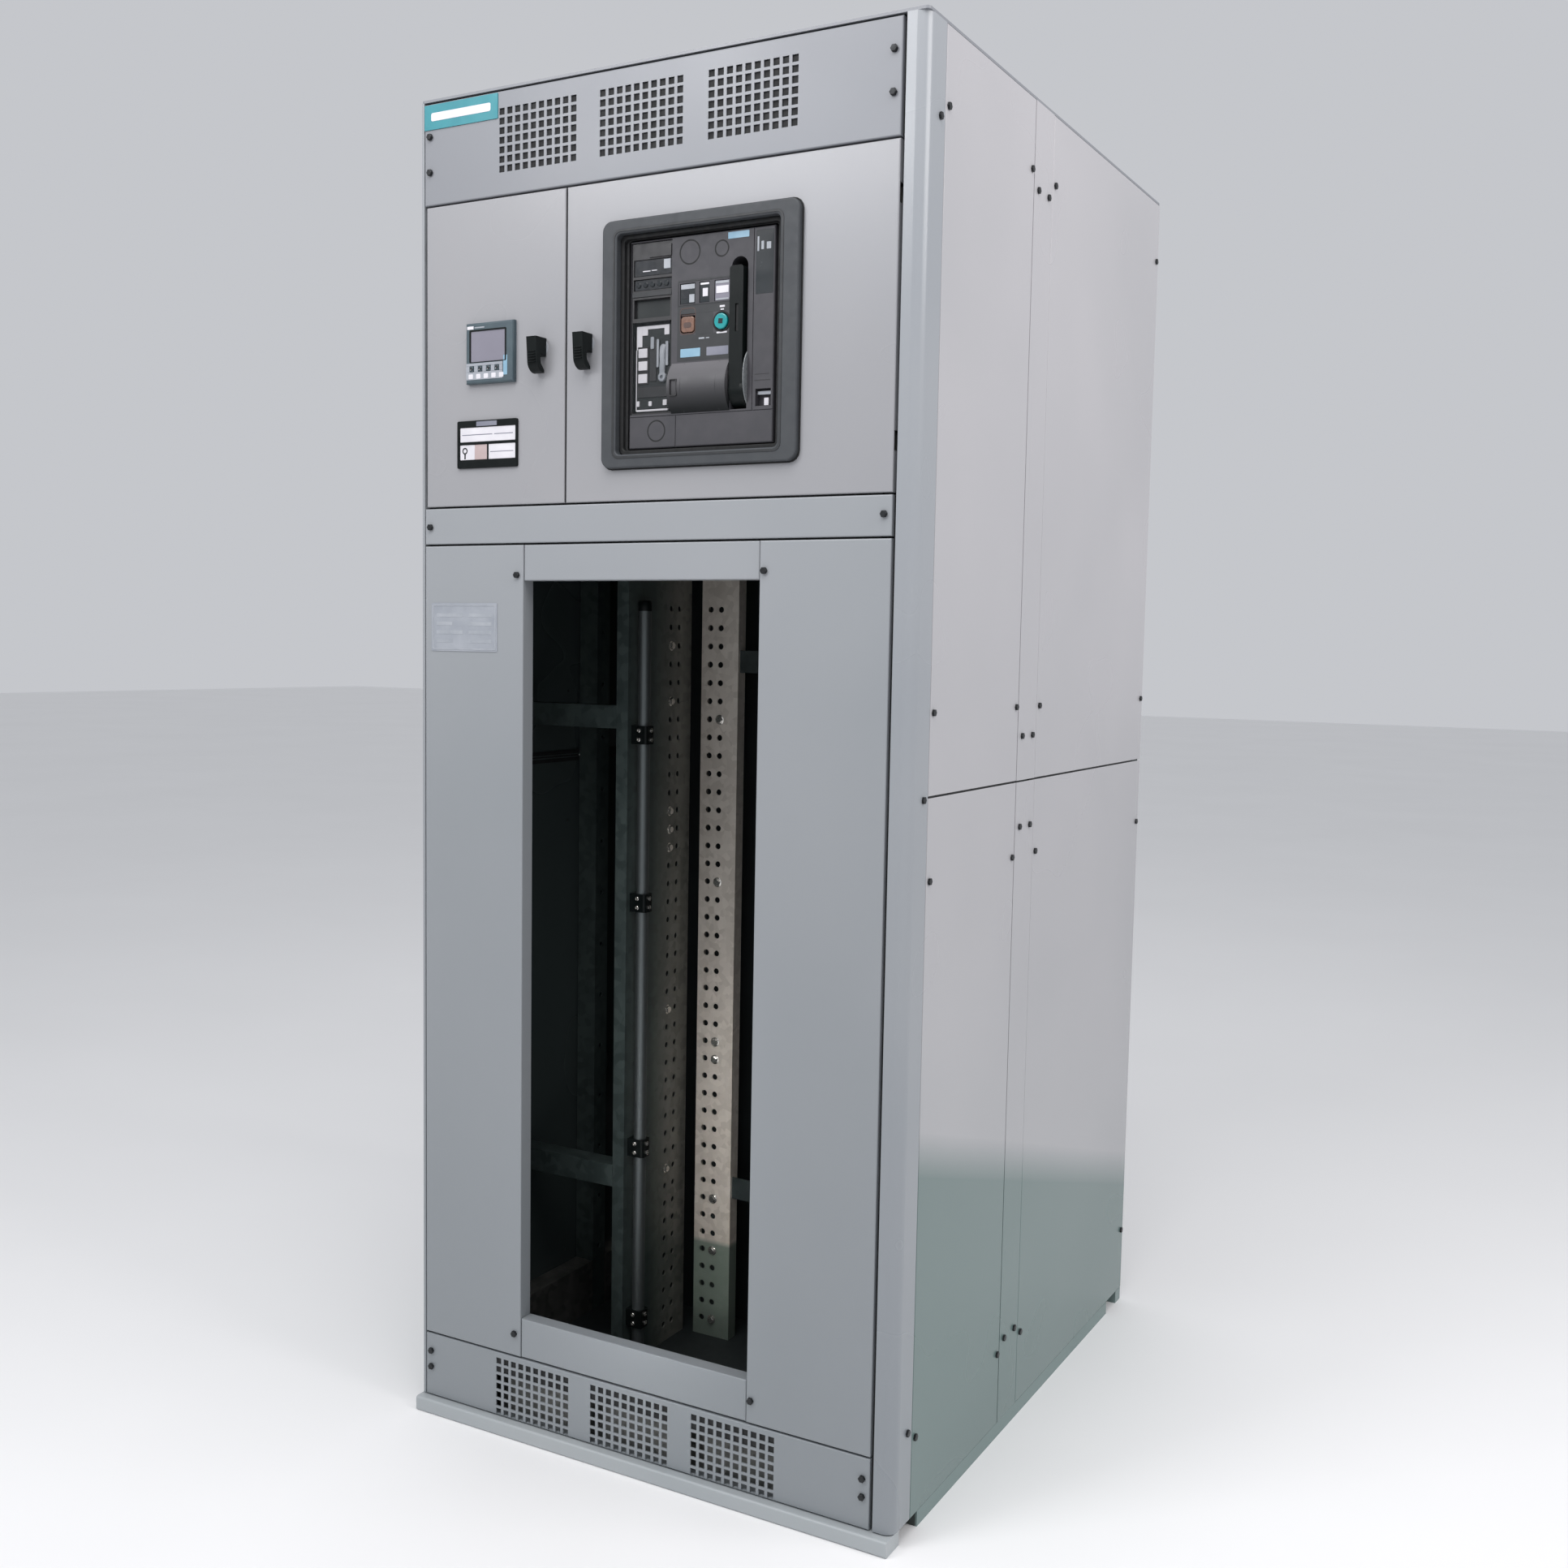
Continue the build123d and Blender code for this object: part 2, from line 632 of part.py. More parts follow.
# ================================================================== control terminals
terminal_width = 8.0
terminal_count = 14
fuse_pitch = 18.2
fuse_count = 3
with BuildPart() as terminal_strip:
    slab(-380.0, -190.0, partition_y - 9.0, partition_y - 1.0, 1780.0, 1815.0)
    for i in range(terminal_count):
        x = -370.0 + i * (terminal_width + 0.5)
        slab(x, x + terminal_width, partition_y - 55.0, partition_y - 9.0, 1770.0, 1825.0)
    for i in range(fuse_count):
        x = -246.0 + i * fuse_pitch
        slab(x, x + 18.0, partition_y - 70.0, partition_y - 9.0, 1755.0, 1840.0)
        slab(x + 6.0, x + 12.0, partition_y - 78.0, partition_y - 70.0, 1792.0, 1806.0)
write(terminal_strip, "terminal_strip")

# ================================================================== breaker cradle
cradle_top = 1992.0
cradle_bottom = 1556.0
cradle_front = -470.0
cradle_wall = 3.0
cradle_leg = 30.0
terminal_block = 56.0  # moulded rear block that carries the fixed contacts

cradle_rear_face = cradle_back + 6.0
with BuildPart() as breaker_cradle:
    slab(cradle_left, cradle_right, cradle_front, cradle_back, cradle_bottom, cradle_bottom + cradle_wall)
    for x0 in (cradle_left, cradle_right - cradle_wall):
        slab(x0, x0 + cradle_wall, cradle_front, cradle_back, cradle_bottom, cradle_top)
    slab(cradle_left, cradle_right, cradle_back - terminal_block, cradle_rear_face, cradle_bottom, cradle_top)
    for x0 in (cradle_left, cradle_right - cradle_leg):
        slab(x0, x0 + cradle_leg, cradle_front + 20.0, cradle_back - 20.0, shelf_level, cradle_bottom)
    for x in phase_x:
        for z in (upper_stab_z, lower_stab_z):
            slab(x - stab_width / 2, x + stab_width / 2, cradle_back - 70.0, cradle_back + 10.0,
                 z - bar / 2, z + bar / 2, Mode.SUBTRACT)
write(breaker_cradle, "breaker_cradle")

# ================================================================== breaker
case_left = breaker_x - case_width / 2
case_right = breaker_x + case_width / 2
case_front = face_y + shell_depth
case_back = case_front + case_depth
face_left = breaker_x - face_width / 2
face_right = breaker_x + face_width / 2
face_bottom = breaker_z - face_height / 2
face_top = breaker_z + face_height / 2
chute_height = 60.0

with BuildPart() as breaker_case:
    slab(case_left, case_right, case_front, case_back, case_bottom, case_top - chute_height)
    fillet(edges(Select.LAST).filter_by(Axis.Y), 5.0)
    for x in phase_x:
        slab(x - 46.0, x + 46.0, case_front + 60.0, case_back - 10.0, case_top - chute_height, case_top)
        for groove in range(5):
            y = case_front + 90.0 + groove * 42.0
            slab(x - 34.0, x + 34.0, y, y + 10.0, case_top - 6.0, case_top, Mode.SUBTRACT)
    for side in (-1, 1):
        x0, x1 = sorted((breaker_x + side * case_width / 2, breaker_x + side * (case_width / 2 + 10.0)))
        slab(x0, x1, case_front + 20.0, case_back - 20.0, case_bottom + 40.0, case_bottom + 58.0)
write(breaker_case, "breaker_case")

jaw_tip = cradle_back - terminal_block - 12.0
with BuildPart() as breaker_contacts:
    for x in phase_x:
        for z in (upper_stab_z, lower_stab_z):
            for side in (-1, 1):
                z0, z1 = sorted((z + side * (bar / 2 + 0.8), z + side * (bar / 2 + 6.0)))
                slab(x - 22.0, x + 22.0, case_back, jaw_tip, z0, z1)
write(breaker_contacts, "breaker_contacts")

pocket_left = (face_left + 1.0, 35.5)  # trip unit pocket
lever_slot = (140.0, 168.0)
lever_slot_top = 1883.0
lever_slot_depth = 48.0
sill_z = 1674.5  # seam between the upper face and the racking panels
button_z = 1806.0
on_x = 124.0
on_radius = 11.5
off_x = 64.5
off_size = 23.0

off_pocket = 13.0  # half-width of the square recess round the OFF button
window_rows = (1836.0, 1866.5)
window_columns = ((50.0, 77.0), (84.0, 102.0), (110.5, 136.5))
knockout_z = 1911.5
knockouts = ((67.0, 18.0), (122.5, 12.0))  # X and radius
lock_plug = (10.0, 1652.0, 16.0)  # X, Z and radius of the racking-lock blank
ring_width = 1.6
mould_line = 1.2  # width and depth of the lines between the moulded panels
left_seam_x = 44.0
right_seam_x = 176.8
foot_recess = (183.0, 209.0)
with BuildPart() as breaker_front:
    slab(face_left, face_right, face_y, case_front, face_bottom, face_top)
    fillet(edges(Select.LAST).group_by(Axis.Y)[0], 2.5)
    slab(*pocket_left, face_y - 1.0, face_y + 52.0, sill_z + 3.0, face_top - 2.0, Mode.SUBTRACT)
    slab(*lever_slot, face_y - 1.0, face_y + lever_slot_depth, sill_z + 2.5, lever_slot_top, Mode.SUBTRACT)
    slot_x = sum(lever_slot) / 2
    slot_radius = (lever_slot[1] - lever_slot[0]) / 2
    rod_y(slot_x, face_y - 1.0, face_y + lever_slot_depth, lever_slot_top, slot_radius, Mode.SUBTRACT)
    rod_y(on_x, face_y - 1.0, face_y + 16.0, button_z, on_radius + 0.8, Mode.SUBTRACT)
    off_sides = (off_x - off_pocket, off_x + off_pocket)
    off_top = button_z + off_pocket
    slab(*off_sides, face_y - 1.0, face_y + 16.0, button_z - off_pocket, off_top, Mode.SUBTRACT)
    slab(*off_sides, face_y - 1.0, face_y + 1.5, off_top, off_top + 10.0, Mode.SUBTRACT)
    for sides in window_columns:
        slab(*sides, face_y - 1.0, face_y + 2.0, *window_rows, Mode.SUBTRACT)
    for knockout_x, knockout_radius in knockouts:
        rod_y(knockout_x, face_y - 1.0, face_y + 0.8, knockout_z, knockout_radius, Mode.SUBTRACT)
        rod_y(knockout_x, face_y, face_y + 0.8, knockout_z, knockout_radius - ring_width)
    cut = (face_y - 1.0, face_y + mould_line)
    slab(face_left - 1.0, face_right + 1.0, *cut, sill_z - mould_line, sill_z, Mode.SUBTRACT)
    slab(left_seam_x, left_seam_x + mould_line, *cut, face_bottom - 1.0, sill_z, Mode.SUBTRACT)
    slab(right_seam_x, right_seam_x + mould_line, *cut, sill_z, face_top + 1.0, Mode.SUBTRACT)
    plug_x, plug_z, plug_radius = lock_plug
    rod_y(plug_x, face_y - 1.0, face_y + 1.0, plug_z, plug_radius, Mode.SUBTRACT)
    rod_y(plug_x, face_y, face_y + 1.0, plug_z, plug_radius - ring_width)
    slab(*foot_recess, face_y - 1.0, face_y + 12.0, sill_z + 5.0, sill_z + 30.0, Mode.SUBTRACT)
write(breaker_front, "breaker_front")

unit_left = pocket_left[0] + 0.5
unit_right = pocket_left[1] - 0.5
unit_open = face_y + 2.0  # a cut into the trip unit starts just in front of its face
terminal_left = unit_left + 2.0
terminal_right = unit_right - 2.0
terminal_bottom = sill_z + 6.0
terminal_top = 1816.0
plug_rows = (1822.0, 1850.0)
display_rows = (1884.0, 1909.0)
keypad_rows = (1863.0, 1880.0)
name_rows = (1911.0, 1928.0)
name_left = -7.0
with BuildPart() as trip_unit:
    slab(unit_left, unit_right, face_y + 3.0, face_y + 52.0, sill_z + 3.5, face_top - 2.5)
    slab(unit_left + 4.0, unit_right - 4.0, unit_open, face_y + 9.0, *plug_rows, Mode.SUBTRACT)
    slab(terminal_left, terminal_right, unit_open, face_y + 15.0, terminal_bottom, terminal_top, Mode.SUBTRACT)
    slab(unit_left + 3.0, terminal_right, unit_open, face_y + 5.0, *display_rows, Mode.SUBTRACT)
    slab(unit_left + 3.0, terminal_right, unit_open, face_y + 6.0, *keypad_rows, Mode.SUBTRACT)
    slab(name_left, terminal_right, face_y + 1.0, face_y + 3.0, *name_rows)
write(trip_unit, "trip_unit")

with BuildPart() as trip_unit_cover:
    slab(terminal_left, terminal_right, face_y + 1.0, face_y + 3.0, terminal_bottom, terminal_top)
    slab(terminal_left, terminal_left + 2.0, face_y + 3.0, face_y + 14.0, terminal_bottom, terminal_top)
    slab(terminal_right - 2.0, terminal_right, face_y + 3.0, face_y + 14.0, terminal_bottom, terminal_top)
write(trip_unit_cover, "trip_unit_cover")

drum_bulge = 15.0
drum_top = 1750.0
drum_left = 37.0
drum_right = 139.0
with BuildPart() as drum_cover:
    with BuildSketch(Plane.YZ.offset(drum_left)):
        with BuildLine():
            ThreePointArc(
                (face_y, sill_z + 1.5),
                (face_y - drum_bulge, (sill_z + drum_top) / 2),
                (face_y, drum_top),
            )
            Line((face_y, drum_top), (face_y, sill_z + 1.5))
        make_face()
    extrude(amount=drum_right - drum_left)
    slab(42.0, 55.0, face_y - drum_bulge - 1.0, face_y - drum_bulge + 2.2, 1700.0, 1725.0, Mode.SUBTRACT)
write(drum_cover, "drum_cover")

lever_pivot = (face_y + 18.0, 1705.0)
lever_left = 141.5
lever_right = 166.5
lever_tip = 1883.0
hub_radius = 26.0
lever_groove = (151.5, 156.5, 1788.0, 1828.0)
with BuildPart() as charging_lever:
    rod_x(lever_left, lever_right - 6.0, *lever_pivot, hub_radius)
    rod_x(lever_right - 6.0, lever_right, *lever_pivot, hub_radius + 1.0)
    slab(lever_left, lever_right - 2.0, face_y - 8.0, face_y + 4.0, lever_pivot[1], lever_tip)
    fillet(edges().filter_by(Axis.Y).group_by(Axis.Z)[-1], 5.0)
    groove_left, groove_right, groove_bottom, groove_top = lever_groove
    slab(groove_left, groove_right, face_y - 9.0, face_y - 5.0, groove_bottom, groove_top, Mode.SUBTRACT)
write(charging_lever, "charging_lever")

with BuildPart() as on_button:
    rod_y(on_x, face_y - 4.0, face_y + 10.0, button_z, on_radius)
    fillet(edges(Select.LAST).filter_by(GeomType.CIRCLE).group_by(Axis.Y)[0], 1.5)
write(on_button, "on_button")

with BuildPart() as off_button:
    slab(off_x - off_size / 2, off_x + off_size / 2, face_y - 1.0, face_y + 10.0,
         button_z - off_size / 2, button_z + off_size / 2)
    fillet(edges(Select.LAST).filter_by(Axis.Y), 5.0)
    fillet(edges().group_by(Axis.Y)[0], 1.2)
write(off_button, "off_button")

# ================================================================== doors
hinge_inset = 9.0
hinge_y = front + hinge_inset
pin_radius = 3.0
running_gap = 0.05
knuckle_radius = 6.5
bracket_half = 12.0
knuckle_length = 14.0
hinge_levels = (door_bottom + 72.0, door_top - 72.0)
metering_hinge_x = field_left + hinge_inset
breaker_hinge_x = field_right - hinge_inset
spindle_radius = 7.0
handle_z = 1790.0
metering_handle_x = -204.0
breaker_handle_x = -115.5
cutout = (-58.5, 231.5, 1614.5, 1949.5)
meter_x = -302.0
meter_z = 1789.0
meter_size = 96.0
meter_body = 91.5
meter_cutout = meter_body / 2 + 0.55


def door_leaf(x0, x1, hinge_side, handle_x):
    """A folded door, notched in its hinge-side return where the fixed brackets pass."""
    front_pan(x0, x1, door_bottom, door_top, door_depth)
    edge = x0 if hinge_side < 0 else x1
    for z in hinge_levels:
        near, far = sorted((edge - hinge_side * (sheet + 1.0), edge + hinge_side * 1.0))
        slab(near, far, front + sheet, front + door_depth + 1.0,
             z - bracket_half - 2.0, z + bracket_half + 2.0, Mode.SUBTRACT)
    rod_y(handle_x, front - 1.0, front + sheet + 1.0, handle_z, spindle_radius + 0.3, Mode.SUBTRACT)


def hinge_leaves(axis_x):
    """Two pairs of knuckles on a door's inner face with one pin through each pair."""
    for z in hinge_levels:
        for side in (-1, 1):
            near = bracket_half + 0.4
            z0, z1 = sorted((z + side * near, z + side * (near + knuckle_length)))
            rod_z(axis_x, hinge_y, z0, z1, knuckle_radius)
            slab(axis_x - knuckle_radius, axis_x + knuckle_radius, front + sheet, hinge_y, z0, z1)
        rod_z(axis_x, hinge_y, z - bracket_half - knuckle_length + 2.0,
              z + bracket_half + knuckle_length - 2.0, pin_radius)


with BuildPart() as metering_door:
    door_leaf(field_left, door_split - 1.5, -1, metering_handle_x)
    slab(meter_x - meter_cutout, meter_x + meter_cutout, front - 1.0, front + sheet + 1.0,
         meter_z - meter_cutout, meter_z + meter_cutout, Mode.SUBTRACT)
write(metering_door, "metering_door")

with BuildPart() as breaker_door:
    door_leaf(door_split + 1.5, field_right, 1, breaker_handle_x)
    slab(cutout[0], cutout[1], front - 1.0, front + sheet + 1.0, cutout[2], cutout[3], Mode.SUBTRACT)
write(breaker_door, "breaker_door")

with BuildPart() as metering_door_hinges:
    hinge_leaves(metering_hinge_x)
write(metering_door_hinges, "metering_door_hinges")

with BuildPart() as breaker_door_hinges:
    hinge_leaves(breaker_hinge_x)
write(breaker_door_hinges, "breaker_door_hinges")

with BuildPart() as hinge_brackets:
    for axis_x, side in ((metering_hinge_x, -1), (breaker_hinge_x, 1)):
        for z in hinge_levels:
            z0, z1 = z - bracket_half, z + bracket_half
            x0, x1 = sorted((axis_x - side * 6.0, axis_x + side * 2.0))
            rod_z(axis_x, hinge_y, z0, z1, knuckle_radius)
            slab(x0, x1, hinge_y, frame_front, z0, z1)
            x0, x1 = sorted((axis_x - side * 6.0, side * (post_in + 22.0)))
            slab(x0, x1, frame_front - 2.5, frame_front, z0, z1)
            rod_z(axis_x, hinge_y, z0, z1, pin_radius + running_gap, Mode.SUBTRACT)
write(hinge_brackets, "hinge_brackets")

bezel_proud = 10.0
bezel_outer = (-82.0, 260.0, 1597.0, 1967.0)
bezel_inner = (-55.5, 228.5, 1617.5, 1946.5)
bezel_lip = 2.5


def ring(plane_offset, outer, inner, outer_radius, inner_radius, amount):
    """A flat rounded rectangular ring facing -Y."""
    with BuildSketch(Plane.XZ.offset(plane_offset)) as loop:
        for limits, radius, mode in ((outer, outer_radius, Mode.ADD), (inner, inner_radius, Mode.SUBTRACT)):
            x0, x1, z0, z1 = limits
            with Locations(((x0 + x1) / 2, (z0 + z1) / 2)):
                RectangleRounded(x1 - x0, z1 - z0, radius, mode=mode)
    extrude(loop.sketch, amount=amount)


lip_outer = (
    bezel_inner[0] - bezel_lip,
    bezel_inner[1] + bezel_lip,
    bezel_inner[2] - bezel_lip,
    bezel_inner[3] + bezel_lip,
)
with BuildPart() as door_cutout_frame:
    ring(-front, bezel_outer, bezel_inner, 16.0, 8.0, bezel_proud)
    fillet(edges(Select.LAST).group_by(Axis.Y)[0], 2.5)
    ring(-front, lip_outer, bezel_inner, 10.0, 8.0, -door_depth + 2.0)
write(door_cutout_frame, "door_cutout_frame")

grip_width = 19.0
grip_front = front - 27.0
grip_inner = front - 16.0
grip_tip = front - 4.0
handle_top = handle_z + 14.0
handle_bottom = handle_z - 40.0
face_gap = 0.6
cam_reach = 24.0


def door_handle(x):
    """A quarter-turn handle: hub, hanging grip with a curled tip, spindle and cam."""
    with BuildSketch(Plane.YZ.offset(x - grip_width / 2)) as side_view:
        with BuildLine():
            Polyline(
                (front - face_gap, handle_top),
                (grip_front, handle_top),
                (grip_front + 3.0, handle_bottom + 16.0),
            )
            ThreePointArc(
                (grip_front + 3.0, handle_bottom + 16.0),
                (grip_front + 8.0, handle_bottom + 5.0),
                (grip_tip, handle_bottom),
            )
            Polyline(
                (grip_tip, handle_bottom),
                (grip_tip, handle_bottom + 2.5),
                (grip_inner + 2.0, handle_bottom + 14.0),
                (grip_inner, handle_z - 12.0),
                (front - face_gap, handle_z - 14.0),
                (front - face_gap, handle_top),
            )
        make_face()
    extrude(side_view.sketch, amount=grip_width)
    fillet(edges().filter_by(Axis.Z, reverse=False).group_by(Axis.Y)[0], 2.0)
    rod_y(x, front - face_gap, front + 32.0, handle_z, spindle_radius)


with BuildPart() as metering_door_handle:
    door_handle(metering_handle_x)
    slab(metering_handle_x, metering_handle_x + cam_reach, front + 32.0, front + 36.0,
         handle_z - 8.0, handle_z + 8.0)
write(metering_door_handle, "metering_door_handle")

with BuildPart() as breaker_door_handle:
    door_handle(breaker_handle_x)
    slab(breaker_handle_x - cam_reach, breaker_handle_x, front + 32.0, front + 36.0,
         handle_z - 8.0, handle_z + 8.0)
write(breaker_door_handle, "breaker_door_handle")

# ================================================================== meter and labels
meter_face = front - 8.5
key_x = (-337.5, -320.5, -303.5, -286.5)
key_z = 1764.5
key_size = 8.0
screen_limits = (-340.0, -270.0, 1775.0, 1824.0)

with BuildPart() as meter_housing:
    half = meter_size / 2
    slab(meter_x - half, meter_x + half, meter_face, front, meter_z - half, meter_z + half)
    fillet(edges(Select.LAST).group_by(Axis.Y)[0], 3.0)
    half = meter_body / 2
    slab(meter_x - half, meter_x + half, front, front + 55.0, meter_z - half, meter_z + half)
    x0, x1, z0, z1 = screen_limits
    slab(x0, x1, meter_face - 1.0, meter_face + 2.0, z0, z1, Mode.SUBTRACT)
    key_well = (meter_face - 1.0, meter_face + 5.0)
    for x in key_x:
        half = key_size / 2 + 0.5
        slab(x - half, x + half, *key_well, key_z - half, key_z + half, Mode.SUBTRACT)
write(meter_housing, "meter_housing")

with BuildPart() as meter_screen:
    slab(x0, x1, meter_face + 0.5, meter_face + 2.0, z0, z1)
write(meter_screen, "meter_screen")

for number, x in enumerate(key_x, 1):
    with BuildPart() as meter_key:
        half = key_size / 2
        slab(x - half, x + half, meter_face - 1.0, meter_face + 3.5, key_z - half, key_z + half)
        fillet(edges().filter_by(Axis.Y), 1.5)
    write(meter_key, f"meter_key_{number}")

label_limits = (-372.0, -249.5, 1608.0, 1684.0)
card_windows = (
    (-366.5, -252.5, 1649.5, 1673.5),
    (-366.5, -310.0, 1621.0, 1646.0),
    (-308.0, -252.5, 1621.0, 1646.0),
)
with BuildPart() as label_frame:
    x0, x1, z0, z1 = label_limits
    slab(x0, x1, front - 4.0, front, z0, z1)
    fillet(edges(Select.LAST).filter_by(Axis.Y), 3.0)
    fillet(edges().group_by(Axis.Y)[0], 1.0)
    for x0, x1, z0, z1 in card_windows:
        slab(x0, x1, front - 5.0, front - 2.5, z0, z1, Mode.SUBTRACT)
write(label_frame, "label_frame")
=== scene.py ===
"""Looks of the switchboard cabinet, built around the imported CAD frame.

Metres, the front faces -Y, +Z is up. Helper sizes are written in millimetres and scaled by MM.
"""

import math

import bmesh
import bpy
from mathutils import Matrix, Vector


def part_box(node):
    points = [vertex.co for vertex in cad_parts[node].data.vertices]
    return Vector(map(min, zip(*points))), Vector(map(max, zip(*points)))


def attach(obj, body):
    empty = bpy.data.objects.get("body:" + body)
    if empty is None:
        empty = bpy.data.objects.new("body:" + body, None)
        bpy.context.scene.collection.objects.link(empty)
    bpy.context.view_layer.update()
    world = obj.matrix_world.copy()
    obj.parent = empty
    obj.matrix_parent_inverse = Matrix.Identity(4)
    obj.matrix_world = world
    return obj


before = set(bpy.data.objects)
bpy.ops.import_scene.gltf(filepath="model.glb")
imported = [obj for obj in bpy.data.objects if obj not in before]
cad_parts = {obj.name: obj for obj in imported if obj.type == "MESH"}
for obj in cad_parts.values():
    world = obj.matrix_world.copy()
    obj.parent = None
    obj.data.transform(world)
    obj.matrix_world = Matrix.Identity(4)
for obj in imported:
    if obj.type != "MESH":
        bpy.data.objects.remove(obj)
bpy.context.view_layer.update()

MM = 0.001
# Heights of the painted shade that darkens the cabinet paint lower down.
lower_shade_high, lower_shade_low = 1.45, 0.10
# Heights of the painted floor reflection on the side panels.
floor_reflection_high, floor_reflection_low = 0.475, 0.405
# Nearer the middle than this, a sheet gets the painted shade of an unseen inner face.
side_sheet_inside = 0.4485
# Behind this depth the base rails get their painted shade and floor reflection.
flank_start = -0.5
# Painted shade on the galvanised frames: all farther than web_reach from web_x across, and the front flanges
# from flange_start to flange_full, take the dark tones.
web_x, web_reach = 0.1565, 0.052
flange_start, flange_full = -0.13, -0.22
# Heights of the painted floor reflection low on the mounting rails.
rail_reflection_high, rail_reflection_low = 0.215, 0.205
scene = bpy.context.scene


# ------------------------------------------------------------------ camera
def aim_camera():
    """The calibrated camera: azimuth and elevation of the view, with a slight roll."""
    azimuth, elevation, roll = math.radians(29.02), math.radians(4.94), 0.0178
    back = Vector((
        math.sin(azimuth) * math.cos(elevation),
        -math.cos(azimuth) * math.cos(elevation),
        math.sin(elevation),
    ))
    across = (-back).cross(Vector((0, 0, 1))).normalized()
    upward = across.cross(-back)
    turned_across = across * math.cos(roll) + upward * math.sin(roll)
    turned_up = upward * math.cos(roll) - across * math.sin(roll)
    data = bpy.data.cameras.new("camera")
    data.sensor_width = 36.0
    data.lens = 37.08
    camera = bpy.data.objects.new("camera", data)
    scene.collection.objects.link(camera)
    turn = Matrix((turned_across, turned_up, back)).transposed().to_4x4()
    camera.matrix_world = Matrix.Translation((1.3950, -2.6220, 1.3327)) @ turn
    scene.camera = camera


aim_camera()


# ------------------------------------------------------------------ colours and materials
def tone(red, green, blue):
    """A display colour, 0 to 255, as a linear RGBA."""
    linear = []
    for value in (red, green, blue):
        share = value / 255.0
        linear.append(share / 12.92 if share <= 0.04045 else ((share + 0.055) / 1.055) ** 2.4)
    return (*linear, 1.0)


class Build:
    """Adds linked shader nodes to one new material."""

    def __init__(self, name):
        self.material = bpy.data.materials.new(name)
        self.material.use_nodes = True
        self.tree = self.material.node_tree
        self.shader = self.tree.nodes["Principled BSDF"]
        self.coords = self.node("ShaderNodeTexCoord").outputs["Object"]

    def node(self, kind, **inputs):
        made = self.tree.nodes.new(kind)
        for key, value in inputs.items():
            made.inputs[key.replace("_", " ")].default_value = value
        return made

    def link(self, output, target):
        self.tree.links.new(output, target)

    def stretched(self, scale):
        mapping = self.node("ShaderNodeMapping")
        mapping.inputs["Scale"].default_value = scale
        self.link(self.coords, mapping.inputs["Vector"])
        return mapping.outputs["Vector"]

    def noise(self, scale, detail=3.0, roughness=0.55, vector=None):
        made = self.node("ShaderNodeTexNoise", Scale=scale, Detail=detail, Roughness=roughness)
        self.link(vector or self.coords, made.inputs["Vector"])
        return made.outputs["Fac"]

    def cells(self, scale, vector=None):
        made = self.node("ShaderNodeTexVoronoi", Scale=scale)
        self.link(vector or self.coords, made.inputs["Vector"])
        return made

    def remap(self, value, low, high, to_low, to_high):
        made = self.node("ShaderNodeMapRange")
        for index, number in enumerate((low, high, to_low, to_high), 1):
            made.inputs[index].default_value = number
        self.link(value, made.inputs[0])
        return made.outputs[0]

    def math(self, operation, first, second):
        made = self.node("ShaderNodeMath")
        made.operation = operation
        for slot, value in zip(made.inputs, (first, second)):
            if isinstance(value, (int, float)):
                slot.default_value = value
            else:
                self.link(value, slot)
        return made.outputs[0]

    def blend(self, factor, first, second):
        made = self.node("ShaderNodeMix")
        made.data_type = "RGBA"
        for index, value in ((0, factor), (6, first), (7, second)):
            if isinstance(value, (int, float, tuple)):
                made.inputs[index].default_value = value
            else:
                self.link(value, made.inputs[index])
        return made.outputs[2]

    def axis(self, name):
        made = self.node("ShaderNodeSeparateXYZ")
        self.link(self.coords, made.inputs[0])
        return made.outputs[name]

    def colour(self, output):
        self.link(output, self.shader.inputs["Base Color"])

    def rough(self, output):
        self.link(output, self.shader.inputs["Roughness"])

    def relief(self, height, strength, distance):
        made = self.node("ShaderNodeBump", Strength=strength, Distance=distance)
        self.link(height, made.inputs["Height"])
        self.link(made.outputs["Normal"], self.shader.inputs["Normal"])


def plastic(name, base, second, rough=(0.35, 0.5), grain=900.0, relief=0.12, mottle=40.0, **sockets):
    """Moulded plastic: mottled colour, uneven gloss and a fine spark-eroded grain."""
    b = Build(name)
    b.colour(b.blend(b.remap(b.noise(mottle), 0.3, 0.7, 0.0, 1.0), base, second))
    b.rough(b.remap(b.noise(mottle * 2.2), 0.3, 0.7, *rough))
    b.relief(b.noise(grain, 2.0), relief, 0.0003)
    for key, value in sockets.items():
        b.shader.inputs[key.replace("_", " ")].default_value = value
    return b.material


